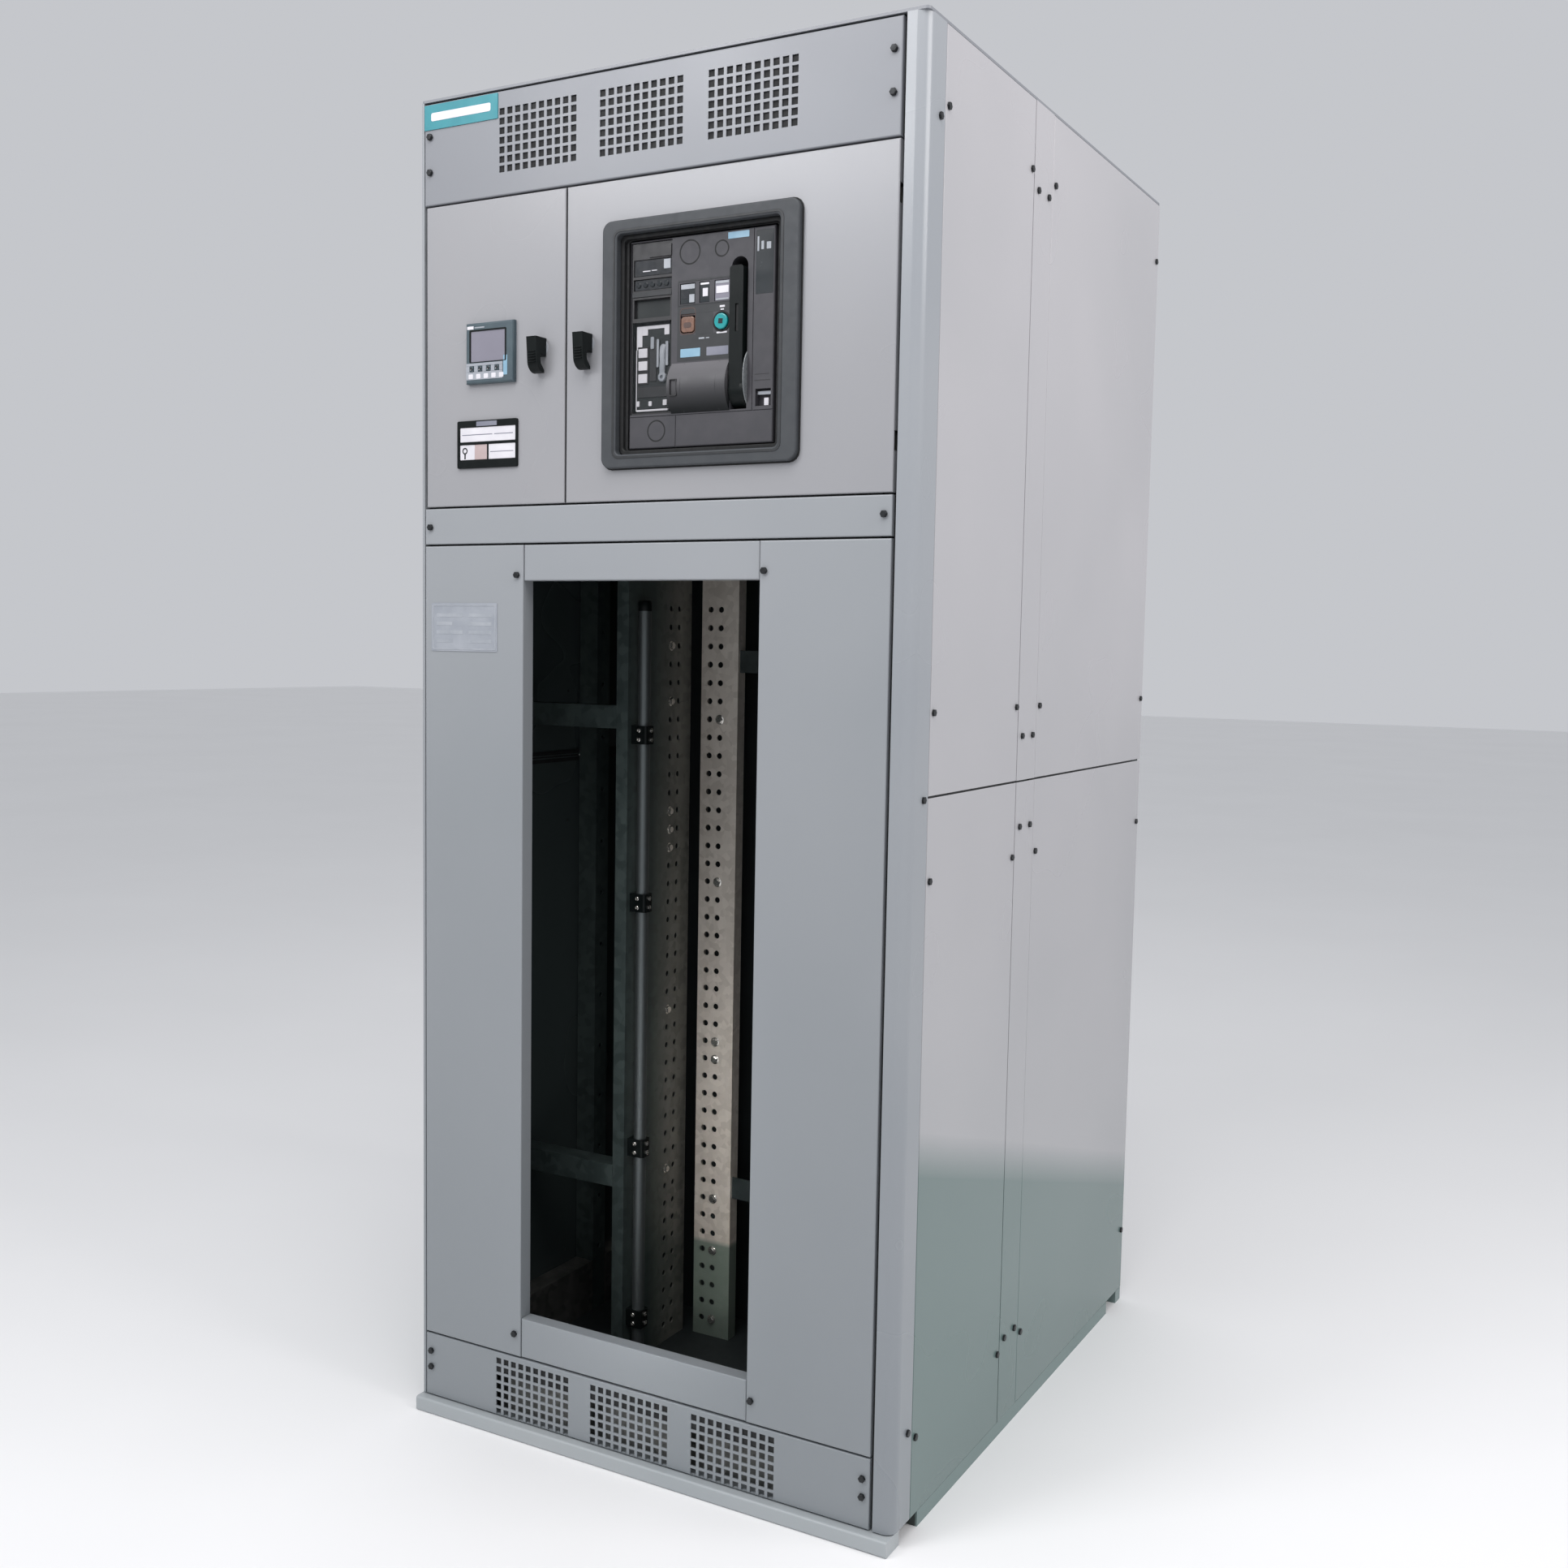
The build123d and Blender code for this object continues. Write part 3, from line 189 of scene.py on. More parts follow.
def paint(name, base, shade, rough=(0.30, 0.40), lower_shade=None, floor_reflection=None, inner_shade=None, flank_shade_and_reflection=None):
    """Powder coat with a fine orange peel and broad, faint changes of tone.

    The optional tones are painted light and shade: a painted shade that the paint drifts towards lower down,
    a greener painted reflection of the floor on the lowest part, a painted shade for a sheet's unseen inner
    face, laid on everything nearer the middle than side_sheet_inside, and a darker, greener painted shade
    and floor reflection on the base rails along the sides and at the back.
    """
    b = Build(name)
    wide = b.remap(b.noise(1.7, 2.0), 0.35, 0.65, 0.0, 1.0)
    colour = b.blend(wide, base, shade)
    dust = b.remap(b.noise(3.0, 3.0, 0.5, b.stretched((1.0, 1.0, 0.25))), 0.45, 0.8, 0.0, 0.05)
    colour = b.blend(dust, colour, tone(190, 190, 188))
    # painted shade: the paint darkens lower down, where less light falls
    if lower_shade:
        colour = b.blend(b.remap(b.axis("Z"), lower_shade_high, lower_shade_low, 0.0, 0.6), colour, lower_shade)
    # painted reflection: a greener tone of the floor's reflection on the lowest part
    if floor_reflection:
        level = b.math("ADD", b.axis("Z"), b.math("MULTIPLY", b.axis("Y"), 0.30))
        colour = b.blend(b.remap(level, floor_reflection_high, floor_reflection_low, 0.0, 0.88), colour, floor_reflection)
    # painted shade and floor reflection: a darker, greener tone on the base rails behind the front
    if flank_shade_and_reflection:
        colour = b.blend(b.math("GREATER_THAN", b.axis("Y"), flank_start), colour, flank_shade_and_reflection)
    # painted shade on the unseen inner faces of the side sheets; it also darkens the rear covers, which lie
    # within this width
    if inner_shade:
        side = b.math("ABSOLUTE", b.axis("X"), 0.0)
        colour = b.blend(b.math("LESS_THAN", side, side_sheet_inside), colour, inner_shade)
    b.colour(colour)
    b.rough(b.remap(b.noise(2.5, 2.0), 0.3, 0.7, *rough))
    b.relief(b.noise(620.0, 2.0), 0.06, 0.0002)
    b.shader.inputs["Coat Weight"].default_value = 0.12
    b.shader.inputs["Coat Roughness"].default_value = 0.18
    return b.material


def zinc(name, dark, light, metal=0.75, rough=(0.32, 0.52), spangle=75.0, shaded=None, floor_reflection=None):
    """Hot-dip galvanised sheet: crystals of uneven brightness and gloss.

    The shaded pair is painted shade: darker tones laid on the cross members and front flanges, which sit in
    shade in the bay; the tone lowest down is a greener painted reflection of the floor.
    """
    b = Build(name)
    cells = b.cells(spangle)
    crystal = b.node("ShaderNodeSeparateColor")
    b.link(cells.outputs["Color"], crystal.inputs[0])
    grey = crystal.outputs[0]
    streak = b.remap(b.noise(7.0, 4.0, 0.6, b.stretched((1.0, 1.0, 0.2))), 0.3, 0.7, 0.0, 0.6)
    mixed = b.math("ADD", b.math("MULTIPLY", grey, 0.45), streak)
    colour = b.blend(mixed, dark, light)
    # painted shade on the cross members and front flanges
    if shaded:
        off_centre = b.math("SUBTRACT", b.math("ABSOLUTE", b.axis("X"), 0.0), web_x)
        outer = b.math("GREATER_THAN", b.math("ABSOLUTE", off_centre, 0.0), web_reach)
        forward = b.remap(b.axis("Y"), flange_start, flange_full, 0.0, 1.0)
        colour = b.blend(b.math("MAXIMUM", outer, forward), colour, b.blend(mixed, *shaded))
    # painted reflection: a greener tone of the floor's reflection low on the rails
    if floor_reflection:
        colour = b.blend(b.remap(b.axis("Z"), rail_reflection_high, rail_reflection_low, 0.0, 0.85), colour, floor_reflection)
    b.colour(colour)
    b.rough(b.remap(grey, 0.0, 1.0, *rough))
    b.relief(cells.outputs["Distance"], 0.06, 0.0004)
    b.shader.inputs["Metallic"].default_value = metal
    return b.material


def metal(name, base, second, rough=(0.2, 0.35), lines=(1.0, 1.0, 60.0)):
    """Plated or bare metal with fine lines."""
    b = Build(name)
    fine = b.noise(60.0, 3.0, 0.6, b.stretched(lines))
    b.colour(b.blend(fine, base, second))
    b.rough(b.remap(fine, 0.3, 0.7, *rough))
    b.relief(fine, 0.08, 0.0002)
    b.shader.inputs["Metallic"].default_value = 0.95
    return b.material


def top_lit_satin(name, top, bottom, high, low):
    """Satin moulding with painted light: lighter towards its top edge, where light catches the bulge, and
    painted shade below.
    """
    b = Build(name)
    b.colour(b.blend(b.remap(b.axis("Z"), high, low, 0.0, 1.0), top, bottom))
    b.rough(b.remap(b.noise(30.0), 0.3, 0.7, 0.38, 0.5))
    b.relief(b.noise(500.0, 2.0), 0.05, 0.0003)
    b.shader.inputs["Specular IOR Level"].default_value = 0.25
    return b.material


def card_stock(name, base, second, rough=(0.3, 0.45)):
    """A laminated label: faint cloudiness under a satin film."""
    return plastic(name, base, second, rough, 300.0, 0.05, 25.0, Coat_Weight=0.25)


def clear(name):
    """Clear polycarbonate with faint scuffs."""
    b = Build(name)
    scuff = b.noise(55.0, 4.0, 0.6, b.stretched((1.0, 1.0, 3.0)))
    b.rough(b.remap(scuff, 0.35, 0.75, 0.03, 0.22))
    b.colour(b.blend(b.remap(scuff, 0.4, 0.8, 0.0, 0.6), tone(52, 58, 60), tone(84, 90, 92)))
    b.relief(scuff, 0.03, 0.0002)
    b.shader.inputs["Alpha"].default_value = 0.10
    return b.material


def backdrop_floor(name):
    """A pale, even studio floor."""
    b = Build(name)
    b.colour(b.blend(b.noise(0.8), tone(236, 236, 236), tone(242, 242, 242)))
    b.rough(b.remap(b.noise(3.0), 0.3, 0.7, 0.6, 0.75))
    return b.material


M = {
    # door, front, top, post and side are one grey cabinet paint in lit and shaded copies: each is set
    # lighter or darker for the light on that part, which is painted light and shade.
    "door": paint("door_paint", tone(156, 156, 159), tone(149, 150, 154), (0.25, 0.34)),
    "front": paint("front_paint", tone(153, 156, 160), tone(147, 151, 155), lower_shade=tone(118, 125, 129)),
    "top": paint("top_paint", tone(134, 136, 141), tone(128, 131, 137), (0.36, 0.46)),
    "post": paint("post_paint", tone(158, 161, 165), tone(150, 154, 159), (0.2, 0.3), tone(118, 125, 130)),
    "side": paint("side_paint", tone(182, 180, 183), tone(174, 173, 176), (0.2, 0.3), tone(140, 144, 146),
                  tone(84, 108, 105), tone(60, 68, 68)),
    "rail": paint("base_paint", tone(168, 173, 175), tone(158, 164, 167), (0.35, 0.45),
                  flank_shade_and_reflection=tone(108, 127, 125)),
    "foot": plastic("foot_paint", tone(62, 72, 68), tone(50, 58, 56)),
    "zinc": zinc("galvanised_sheet", tone(88, 90, 88), tone(150, 150, 146)),
    "zinc_dim": zinc("galvanised_dim", tone(106, 108, 102), tone(166, 164, 156), 0.3, (0.4, 0.6),
                     shaded=(tone(44, 54, 54), tone(84, 96, 94))),
    "rail_zinc": zinc("galvanised_rail", tone(180, 172, 162), tone(222, 215, 205), 0.15, (0.35, 0.5), 90.0,
                      (tone(30, 38, 38), tone(46, 54, 54)), tone(96, 116, 106)),
    "tube": metal("zinc_tube", tone(96, 102, 104), tone(128, 134, 134), (0.5, 0.62), (40.0, 40.0, 1.0)),
    "bright": metal("bright_steel", tone(200, 198, 192), tone(235, 233, 228), (0.15, 0.28)),
    "copper": metal("copper", tone(196, 120, 82), tone(222, 146, 104), (0.25, 0.4), (1.0, 60.0, 1.0)),
    # A near-black stand-in; on the rear partition and compartment plates, sheets deep in the bay, it is
    # painted shade in place of their own finish.
    "inside": plastic("inside_dark", tone(34, 40, 41), tone(25, 29, 31), (0.5, 0.7), 400.0, 0.1, 6.0),
    "screw": plastic("screw_black", tone(30, 32, 34), tone(46, 48, 50),
                     (0.3, 0.5), 700.0, 0.1, 120.0, Metallic=0.5),
    "teal": card_stock("teal_plate", tone(44, 140, 150), tone(38, 130, 142)),
    "silver_card": card_stock("rating_card", tone(146, 151, 159), tone(164, 168, 175)),
    "white_card": card_stock("white_card", tone(228, 226, 230), tone(212, 210, 216)),
    "rose_card": card_stock("rose_card", tone(196, 178, 178), tone(180, 160, 158)),
    "blue_card": card_stock("blue_card", tone(118, 158, 182), tone(140, 176, 196)),
    "grey_card": card_stock("grey_card", tone(118, 120, 134), tone(134, 136, 148)),
    "red": plastic("support_red", tone(120, 52, 40), tone(104, 44, 36)),
    "terminal": plastic("terminal_grey", tone(150, 152, 150), tone(140, 142, 141)),
    "case": plastic("case_black", tone(44, 44, 46), tone(36, 36, 38)),
    "face": plastic("face_grey", tone(72, 71, 75), tone(66, 66, 70), (0.45, 0.58), Specular_IOR_Level=0.35),
    "face_dark": plastic("face_dark", tone(54, 56, 58), tone(47, 49, 51),
                         (0.35, 0.5), Specular_IOR_Level=0.35),
    # painted light on the drum cover: light at the top, painted shade at the bottom
    "drum": top_lit_satin("drum_grey", tone(104, 103, 106), tone(20, 23, 25), 1.748, 1.682),
    "bezel": plastic("bezel_grey", tone(66, 69, 72), tone(60, 63, 67),
                     (0.45, 0.58), 500.0, 0.12, Specular_IOR_Level=0.4),
    "black": plastic("handle_black", tone(12, 17, 17), tone(18, 23, 23),
                     (0.32, 0.45), Specular_IOR_Level=0.16),
    "rubber": plastic("rubber_black", tone(18, 19, 20), tone(25, 26, 27), (0.6, 0.8), 500.0, 0.2),
    "meter": plastic("meter_grey", tone(72, 88, 94), tone(66, 80, 88), (0.3, 0.42)),
    "screen": plastic("screen_glass", tone(136, 134, 146), tone(128, 126, 138),
                      (0.12, 0.2), 200.0, 0.02, 12.0, Coat_Weight=0.6),
    "display": plastic("display_black", tone(20, 24, 28), tone(30, 34, 40),
                       (0.1, 0.2), 200.0, 0.02, 50.0, Coat_Weight=0.8),
    "teal_button": plastic("button_teal", tone(14, 138, 142), tone(22, 152, 154),
                           (0.15, 0.25), 300.0, 0.04, 90.0, Coat_Weight=0.5),
    "orange_button": plastic("button_orange", tone(124, 90, 74), tone(106, 76, 62),
                             (0.2, 0.35), 300.0, 0.04, 90.0, Coat_Weight=0.3),
    "brown": plastic("recess_brown", tone(78, 58, 52), tone(68, 52, 48)),
    "column": plastic("column_grey", tone(50, 55, 58), tone(38, 42, 45), (0.15, 0.3), 300.0, 0.04, 14.0,
                      Specular_IOR_Level=0.25),
    "rim": plastic("rim_grey", tone(132, 136, 138), tone(112, 116, 118), (0.2, 0.35)),
    "clear": clear("clear_cover"),
    "light_grey": plastic("light_grey", tone(168, 172, 178), tone(150, 155, 162), (0.3, 0.45)),
}

# ------------------------------------------------------------------ CAD nodes take their materials
node_looks = {
    "door": "metering_door breaker_door",
    "front": "middle_strip left_lower_cover right_lower_cover opening_strips bottom_vent_panel"
             " left_front_trim",
    "top": "top_vent_panel roof_plate door_frame_bars",
    "post": "right_front_trim",
    # left_side_panels and rear_covers take the side look with its painted shade and reflection; the rear
    # covers lie nearer the middle than side_sheet_inside, so nearly all of their outer face gets the dark
    # painted shade meant for inner faces.
    "side": "right_front_side_panels right_rear_side_panels right_joint_strips left_side_panels rear_covers",
    "rail": "base_rails",
    "foot": "feet",
    "zinc": "frame_rails hinge_brackets metering_door_hinges breaker_door_hinges breaker_cradle"
            " metering_partition",
    "zinc_dim": "device_frame frame_posts",
    "rail_zinc": "mounting_rails",
    # painted shade: the bay's back sheets are drawn near black
    "inside": "rear_partition compartment_plates",
    "tube": "support_rod",
    "black": "rod_clamps charging_lever metering_door_handle breaker_door_handle label_frame",
    "copper": "main_busbars breaker_connections breaker_contacts earth_bar",
    "red": "busbar_supports",
    "terminal": "terminal_strip",
    "screw": "front_screws panel_screws",
    "teal": "name_plate",
    "silver_card": "rating_plate",
    "case": "breaker_case trip_unit",
    "face": "breaker_front",
    "drum": "drum_cover",
    "clear": "trip_unit_cover",
    "teal_button": "on_button",
    "orange_button": "off_button",
    "meter": "meter_housing meter_key_1 meter_key_2 meter_key_3 meter_key_4",
    "screen": "meter_screen",
    "bezel": "door_cutout_frame",
}
for look, names in node_looks.items():
    for name in names.split():
        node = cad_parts[name]
        node.data.materials.clear()
        node.data.materials.append(M[look])


# ------------------------------------------------------------------ mesh helpers
def finish_piece(name, bm, look, body, smooth=None):
    """Turn a bmesh in millimetres into a named piece that rides on a CAD body."""
    bmesh.ops.scale(bm, vec=(MM, MM, MM), verts=bm.verts)
    bmesh.ops.recalc_face_normals(bm, faces=bm.faces)
    mesh = bpy.data.meshes.new(name)
    bm.to_mesh(mesh)
    bm.free()
    mesh.materials.append(M[look])
    if smooth:
        mesh.shade_smooth()
        mesh.set_sharp_from_angle(angle=math.radians(smooth))
    piece = bpy.data.objects.new(name, mesh)
    scene.collection.objects.link(piece)
    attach(piece, body)


def rounded(x0, x1, z0, z1, radius, steps=4):
    """Outline of a rounded rectangle."""
    radius = min(radius, (x1 - x0) / 2 - 0.01, (z1 - z0) / 2 - 0.01)
    corners = ((x1 - radius, z1 - radius, 0), (x0 + radius, z1 - radius, 90),
               (x0 + radius, z0 + radius, 180), (x1 - radius, z0 + radius, 270))
    points = []
    for cx, cz, start in corners:
        for step in range(steps + 1):
            angle = math.radians(start + 90.0 * step / steps)
            points.append((cx + radius * math.cos(angle), cz + radius * math.sin(angle)))
    return points


def join_rows(bm, rows):
    """Join equal-length rings of vertices by quads."""
    for low, high in zip(rows, rows[1:]):
        for i in range(len(low)):
            j = (i + 1) % len(low)
            bm.faces.new((low[i], low[j], high[j], high[i]))


def loops(bm, rings):
    """Join equal-length rings of points by quads, with a cap at each end."""
    rows = [[bm.verts.new(point) for point in ring] for ring in rings]
    join_rows(bm, rows)
    bm.faces.new(rows[0])
    bm.faces.new(rows[-1])


def card(bm, x0, x1, z0, z1, y_face, thick, radius=1.0, edge=0.3):
    """A thin rounded plate with a softened edge, its face towards -Y."""
    edge = min(edge, thick * 0.6, (x1 - x0) * 0.3, (z1 - z0) * 0.3)
    inner = rounded(x0 + edge, x1 - edge, z0 + edge, z1 - edge, max(radius - edge, 0.05))
    outer = rounded(x0, x1, z0, z1, radius)
    loops(bm, [
        [(x, y_face, z) for x, z in inner],
        [(x, y_face + edge, z) for x, z in outer],
        [(x, y_face + thick, z) for x, z in outer],
    ])


def frame_ring(bm, outer, inner, y_face, y_back, radius_out, radius_in, edge=0.6):
    """A rounded rectangular ring facing -Y with softened front edges."""
    out = rounded(*outer, radius_out)
    out_soft = rounded(outer[0] + edge, outer[1] - edge, outer[2] + edge, outer[3] - edge, radius_out - edge)
    into = rounded(*inner, radius_in)
    in_soft = rounded(inner[0] - edge, inner[1] + edge, inner[2] - edge, inner[3] + edge, radius_in + edge)
    rings = [
        (out, y_back),
        (out, y_face + edge),
        (out_soft, y_face),
        (in_soft, y_face),
        (into, y_face + edge),
        (into, y_back),
    ]
    rows = [[bm.verts.new((x, y, z)) for x, z in outline] for outline, y in rings]
    rows.append(rows[0])
    join_rows(bm, rows)


def turned(bm, x, y, z, profile, facing="-Y", sides=24, turn=0.0):
    """A turned piece: profile is (radius, distance out of the face) from the back to the front."""
    rings = []
    for radius, out in profile:
        ring = []
        for i in range(sides):
            a = 2 * math.pi * i / sides + turn
            u, v = radius * math.cos(a), radius * math.sin(a)
            ring.append({
                "-Y": (x + u, y - out, z + v),
                "+X": (x + out, y + u, z + v),
            }[facing])
        rings.append(ring)
    loops(bm, rings)


def hex_bolt(bm, x, y, z, facing="-Y", size=6.5, turn=0.3):
    """A washer with a chamfered hexagon head on it."""
    turned(bm, x, y, z, [(size * 1.25, 0.0), (size * 1.25, 1.0), (size * 1.15, 1.4)], facing)
    turned(bm, x, y, z, [(size, 1.4), (size, 4.6), (size * 0.82, 5.6)], facing, 6, turn)


def prism(bm, outline, x0, x1, edge=0.5):
    """An outline of (y, z) points drawn out along X, with slightly smaller ends."""
    cy = sum(p[0] for p in outline) / len(outline)
    cz = sum(p[1] for p in outline) / len(outline)

    def shrunk(x, amount):
        ring = []
        for y, z in outline:
            length = math.hypot(y - cy, z - cz)
            share = max(0.0, 1.0 - amount / length) if length else 1.0
            ring.append((x, cy + (y - cy) * share, cz + (z - cz) * share))
        return ring

    loops(bm, [shrunk(x0, edge), shrunk(x0 + edge, 0.0), shrunk(x1 - edge, 0.0), shrunk(x1, edge)])


def bar(bm, x0, x1, y0, y1, z0, z1, radius=1.0):
    """A bar along its X side with rounded long edges."""
    prism(bm, rounded(y0, y1, z0, z1, radius, 3), x0, x1, min(0.5, (x1 - x0) * 0.2))


def cards(name, look, body, rects, y_face, thick, radius=1.0, edge=0.3):
    """Several thin plates at one depth, as one piece."""
    bm = bmesh.new()
    for x0, x1, z0, z1 in rects:
        card(bm, x0, x1, z0, z1, y_face, thick, radius, edge)
    finish_piece(name, bm, look, body, 35)


# ------------------------------------------------------------------ key planes of the CAD, in millimetres
def planes(node):
    """The six limits of a node: X, Y and Z, each low then high."""
    low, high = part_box(node)
    return [value / MM for value in (low.x, high.x, low.y, high.y, low.z, high.z)]


front = planes("middle_strip")[2]
face = planes("breaker_front")[2]
meter_face = planes("meter_housing")[2]
unit_left, unit_right = planes("trip_unit")[:2]
label_face = planes("label_frame")[2]

# ------------------------------------------------------------------ vents and seams
vent_middle, vent_pitch, vent_half = -20.5, 194.0, 78.0
vent_blocks = [
    (vent_middle + k * vent_pitch - vent_half, vent_middle + k * vent_pitch + vent_half)
    for k in (-1, 0, 1)
]
cards("top_vent_mats", "rubber", "cabinet",
      [(x0, x1, 2068.0, 2166.0) for x0, x1 in vent_blocks], front + 2.3, 2.0, 3.0)
cards("bottom_vent_mats", "rubber", "cabinet",
      [(x0, x1, 100.0, 131.0) for x0, x1 in vent_blocks], front + 2.3, 2.0, 3.0)

# Black strips deep in the seams between the front panels, along the right trim, under the roof and in the
# door gap: painted shade, so the gaps read dark.
bm = bmesh.new()
for z0, z1 in ((136.2, 138.8), (1484.2, 1486.8), (1545.2, 1547.8), (2030.2, 2032.8)):
    card(bm, -420.0, 392.0, z0, z1, front + 9.0, 16.0, 0.4, 0.2)
card(bm, 411.3, 416.7, 30.0, 1544.0, front + 8.0, 17.0, 0.6, 0.2)
card(bm, 411.3, 416.7, 2034.0, 2190.0, front + 8.0, 17.0, 0.6, 0.2)
card(bm, -443.6, 411.0, 2193.2, 2195.8, front + 5.0, 20.0, 0.4, 0.2)
card(bm, -161.0, -153.0, 1549.0, 2029.0, front + 21.0, 4.4, 1.0, 0.3)
finish_piece("seam_shade_strips", bm, "rubber", "cabinet")

# Black strips just inside the side panels' seam: painted shade, so the seam reads dark.
bm = bmesh.new()
for x0, x1 in ((-447.8, -446.2), (446.2, 447.8)):
    for y0, y1 in ((-484.0, -113.0), (-73.0, 506.0)):
        bar(bm, x0, x1, y0, y1, 1105.0, 1126.0, 0.6)
finish_piece("side_seam_shade_strips", bm, "rubber", "cabinet")

bm = bmesh.new()
card(bm, -428.0, -306.0, 2165.0, 2178.0, front - 1.9, 0.6, 3.0, 0.2)
finish_piece("name_plate_bar", bm, "white_card", "cabinet", 35)
bm = bmesh.new()
frame_ring(bm, (-426.5, -293.5, 1314.5, 1388.5), (-424.0, -296.0, 1317.0, 1386.0),
           front - 1.5, front - 0.9, 2.0, 1.0, 0.2)
for k in range(4):
    row = (1326.0 + 14.0 * k, 1332.0 + 14.0 * k)
    card(bm, -418.0, -384.0 + 22.0 * (k % 2), *row, front - 1.25, 0.4, 0.5, 0.1)
    card(bm, -350.0, -302.0, *row, front - 1.25, 0.4, 0.5, 0.1)
finish_piece("rating_plate_fields", bm, "light_grey", "cabinet", 35)

# ------------------------------------------------------------------ breaker face
def on_breaker(name, look, rects, proud, thick=0.6, radius=1.0, edge=0.2):
    """Plates on the breaker's face, standing proud of it, or sunk into it where proud is negative."""
    cards(name, look, "breaker", rects, face - proud, thick, radius, edge)


on_breaker("breaker_label_top", "blue_card", [(133.0, 169.0, 1923.5, 1933.0)], 0.35)
on_breaker("breaker_label_charge", "blue_card", [(52.0, 87.0, 1758.0, 1770.5)], 0.35)
on_breaker("breaker_label_state", "grey_card", [(98.0, 136.0, 1758.0, 1770.5)], 0.35)
on_breaker("breaker_panel_field", "face_dark",
           [(46.0, 139.5, 1752.0, 1790.6), (46.0, 139.5, 1821.4, 1833.5),
            (46.0, 50.8, 1790.6, 1821.4), (78.2, 108.6, 1790.6, 1821.4)], 0.12, 0.3, 0.05)
glass = (1836.6, 1866.0)
on_breaker("window_glass_1", "column", [(50.6, 76.4, *glass)], -1.2, 0.7, 1.0)
on_breaker("window_glass_2", "column", [(84.6, 101.4, *glass)], -1.2, 0.7, 1.0)
on_breaker("window_glass_3", "screen", [(111.1, 135.9, *glass)], -1.2, 0.7, 1.0)
on_breaker("window_flag_1", "light_grey",
           [(51.5, 75.5, 1858.0, 1865.0), (66.0, 75.0, 1838.0, 1850.0)], -0.7, 0.6, 0.6)
on_breaker("window_flag_2", "white_card",
           [(89.5, 98.5, 1845.0, 1857.0), (85.5, 100.5, 1862.0, 1865.0)], -0.7, 0.6, 0.6)
on_breaker("window_flag_3", "white_card", [(113.0, 134.5, 1847.5, 1858.0)], -0.7, 0.6, 0.6)
on_breaker("window_band_3", "light_grey",
           [(112.0, 135.0, 1861.5, 1865.0), (112.0, 135.0, 1837.5, 1840.0)], -0.7, 0.6, 0.6)
on_breaker("window_dark_1", "display", [(52.5, 66.0, 1844.0, 1856.5)], -0.8, 0.6, 2.0)
on_breaker("status_strip", "light_grey",
           [(84.0, 94.0, 1783.0, 1785.5), (96.5, 102.5, 1783.4, 1785.0)], 0.3, 0.5, 0.4)
on_breaker("on_legend", "white_card",
           [(120.0, 129.0, 1826.5, 1829.5), (121.5, 127.5, 1822.5, 1824.5), (115.0, 133.0, 1789.0, 1791.6)],
           0.3, 0.5, 0.8)
on_breaker("off_legend", "orange_button",
           [(57.0, 73.0, 1784.5, 1788.5), (59.0, 70.0, 1823.0, 1826.0)], -1.2, 0.5, 0.6)

bm = bmesh.new()
frame_ring(bm, (46.0, 139.0, 1833.8, 1871.0), (48.0, 137.5, 1835.0, 1868.5),
           face - 0.5, face + 0.3, 2.0, 1.0, 0.2)
finish_piece("window_surround", bm, "face_dark", "breaker", 35)

on_x, button_z, on_travel = 124.0, 1806.0, 4.0
bm = bmesh.new()
collar = [(15.2, -0.5), (15.2, 0.7), (14.4, 1.2), (12.9, 1.2), (12.4, 0.6), (12.4, -0.5)]
turned(bm, on_x, face, button_z, collar, "-Y", 40)
finish_piece("on_button_collar", bm, "rubber", "breaker", 30)

bm = bmesh.new()
turned(bm, on_x, face - on_travel, button_z, [(5.2, -0.3), (5.2, 0.25), (4.9, 0.35)], "-Y", 4, 0.7)
finish_piece("on_button_mark", bm, "column", "on_button")
bm = bmesh.new()
card(bm, 58.0, 71.0, 1801.0, 1809.0, face - 1.3, 0.5, 3.0, 0.2)
finish_piece("off_button_mark", bm, "brown", "off_button", 35)
on_breaker("off_field", "brown", [(52.2, 76.8, 1819.6, 1828.4)], -1.32, 0.16, 0.8, 0.05)
bm = bmesh.new()
frame_ring(bm, (50.6, 78.4, 1791.2, 1830.5), (51.7, 77.3, 1793.2, 1829.0),
           face - 0.4, face + 0.6, 6.0, 5.0, 0.2)
finish_piece("off_button_surround", bm, "brown", "breaker", 35)

# charging lever: slot insert and the bright rim beside it
bm = bmesh.new()
card(bm, 151.8, 156.2, 1788.6, 1827.4, face - 6.2, 1.0, 1.0, 0.2)
finish_piece("lever_slot_insert", bm, "rubber", "charging_lever", 35)
bm = bmesh.new()
rim_y, rim_z, rim_depth, rim_height = face + 10.0, 1722.0, 22.0, 42.0
ellipse = [
    (rim_y - rim_depth * math.cos(k * math.pi / 24), rim_z + rim_height * math.sin(k * math.pi / 24))
    for k in range(48)
]
prism(bm, ellipse, 167.2, 168.8, 0.5)
finish_piece("lever_rim", bm, "rim", "breaker", 40)


def groove(x, z, outer, inner):
    """A dark ring a hair proud of the breaker's face, over the groove round one of its moulded blanks:
    painted shade in the groove.
    """
    turned(bm, x, face, z, [(outer, -0.7), (outer, 0.06), (inner, 0.06), (inner, -0.7)], "-Y", 48)


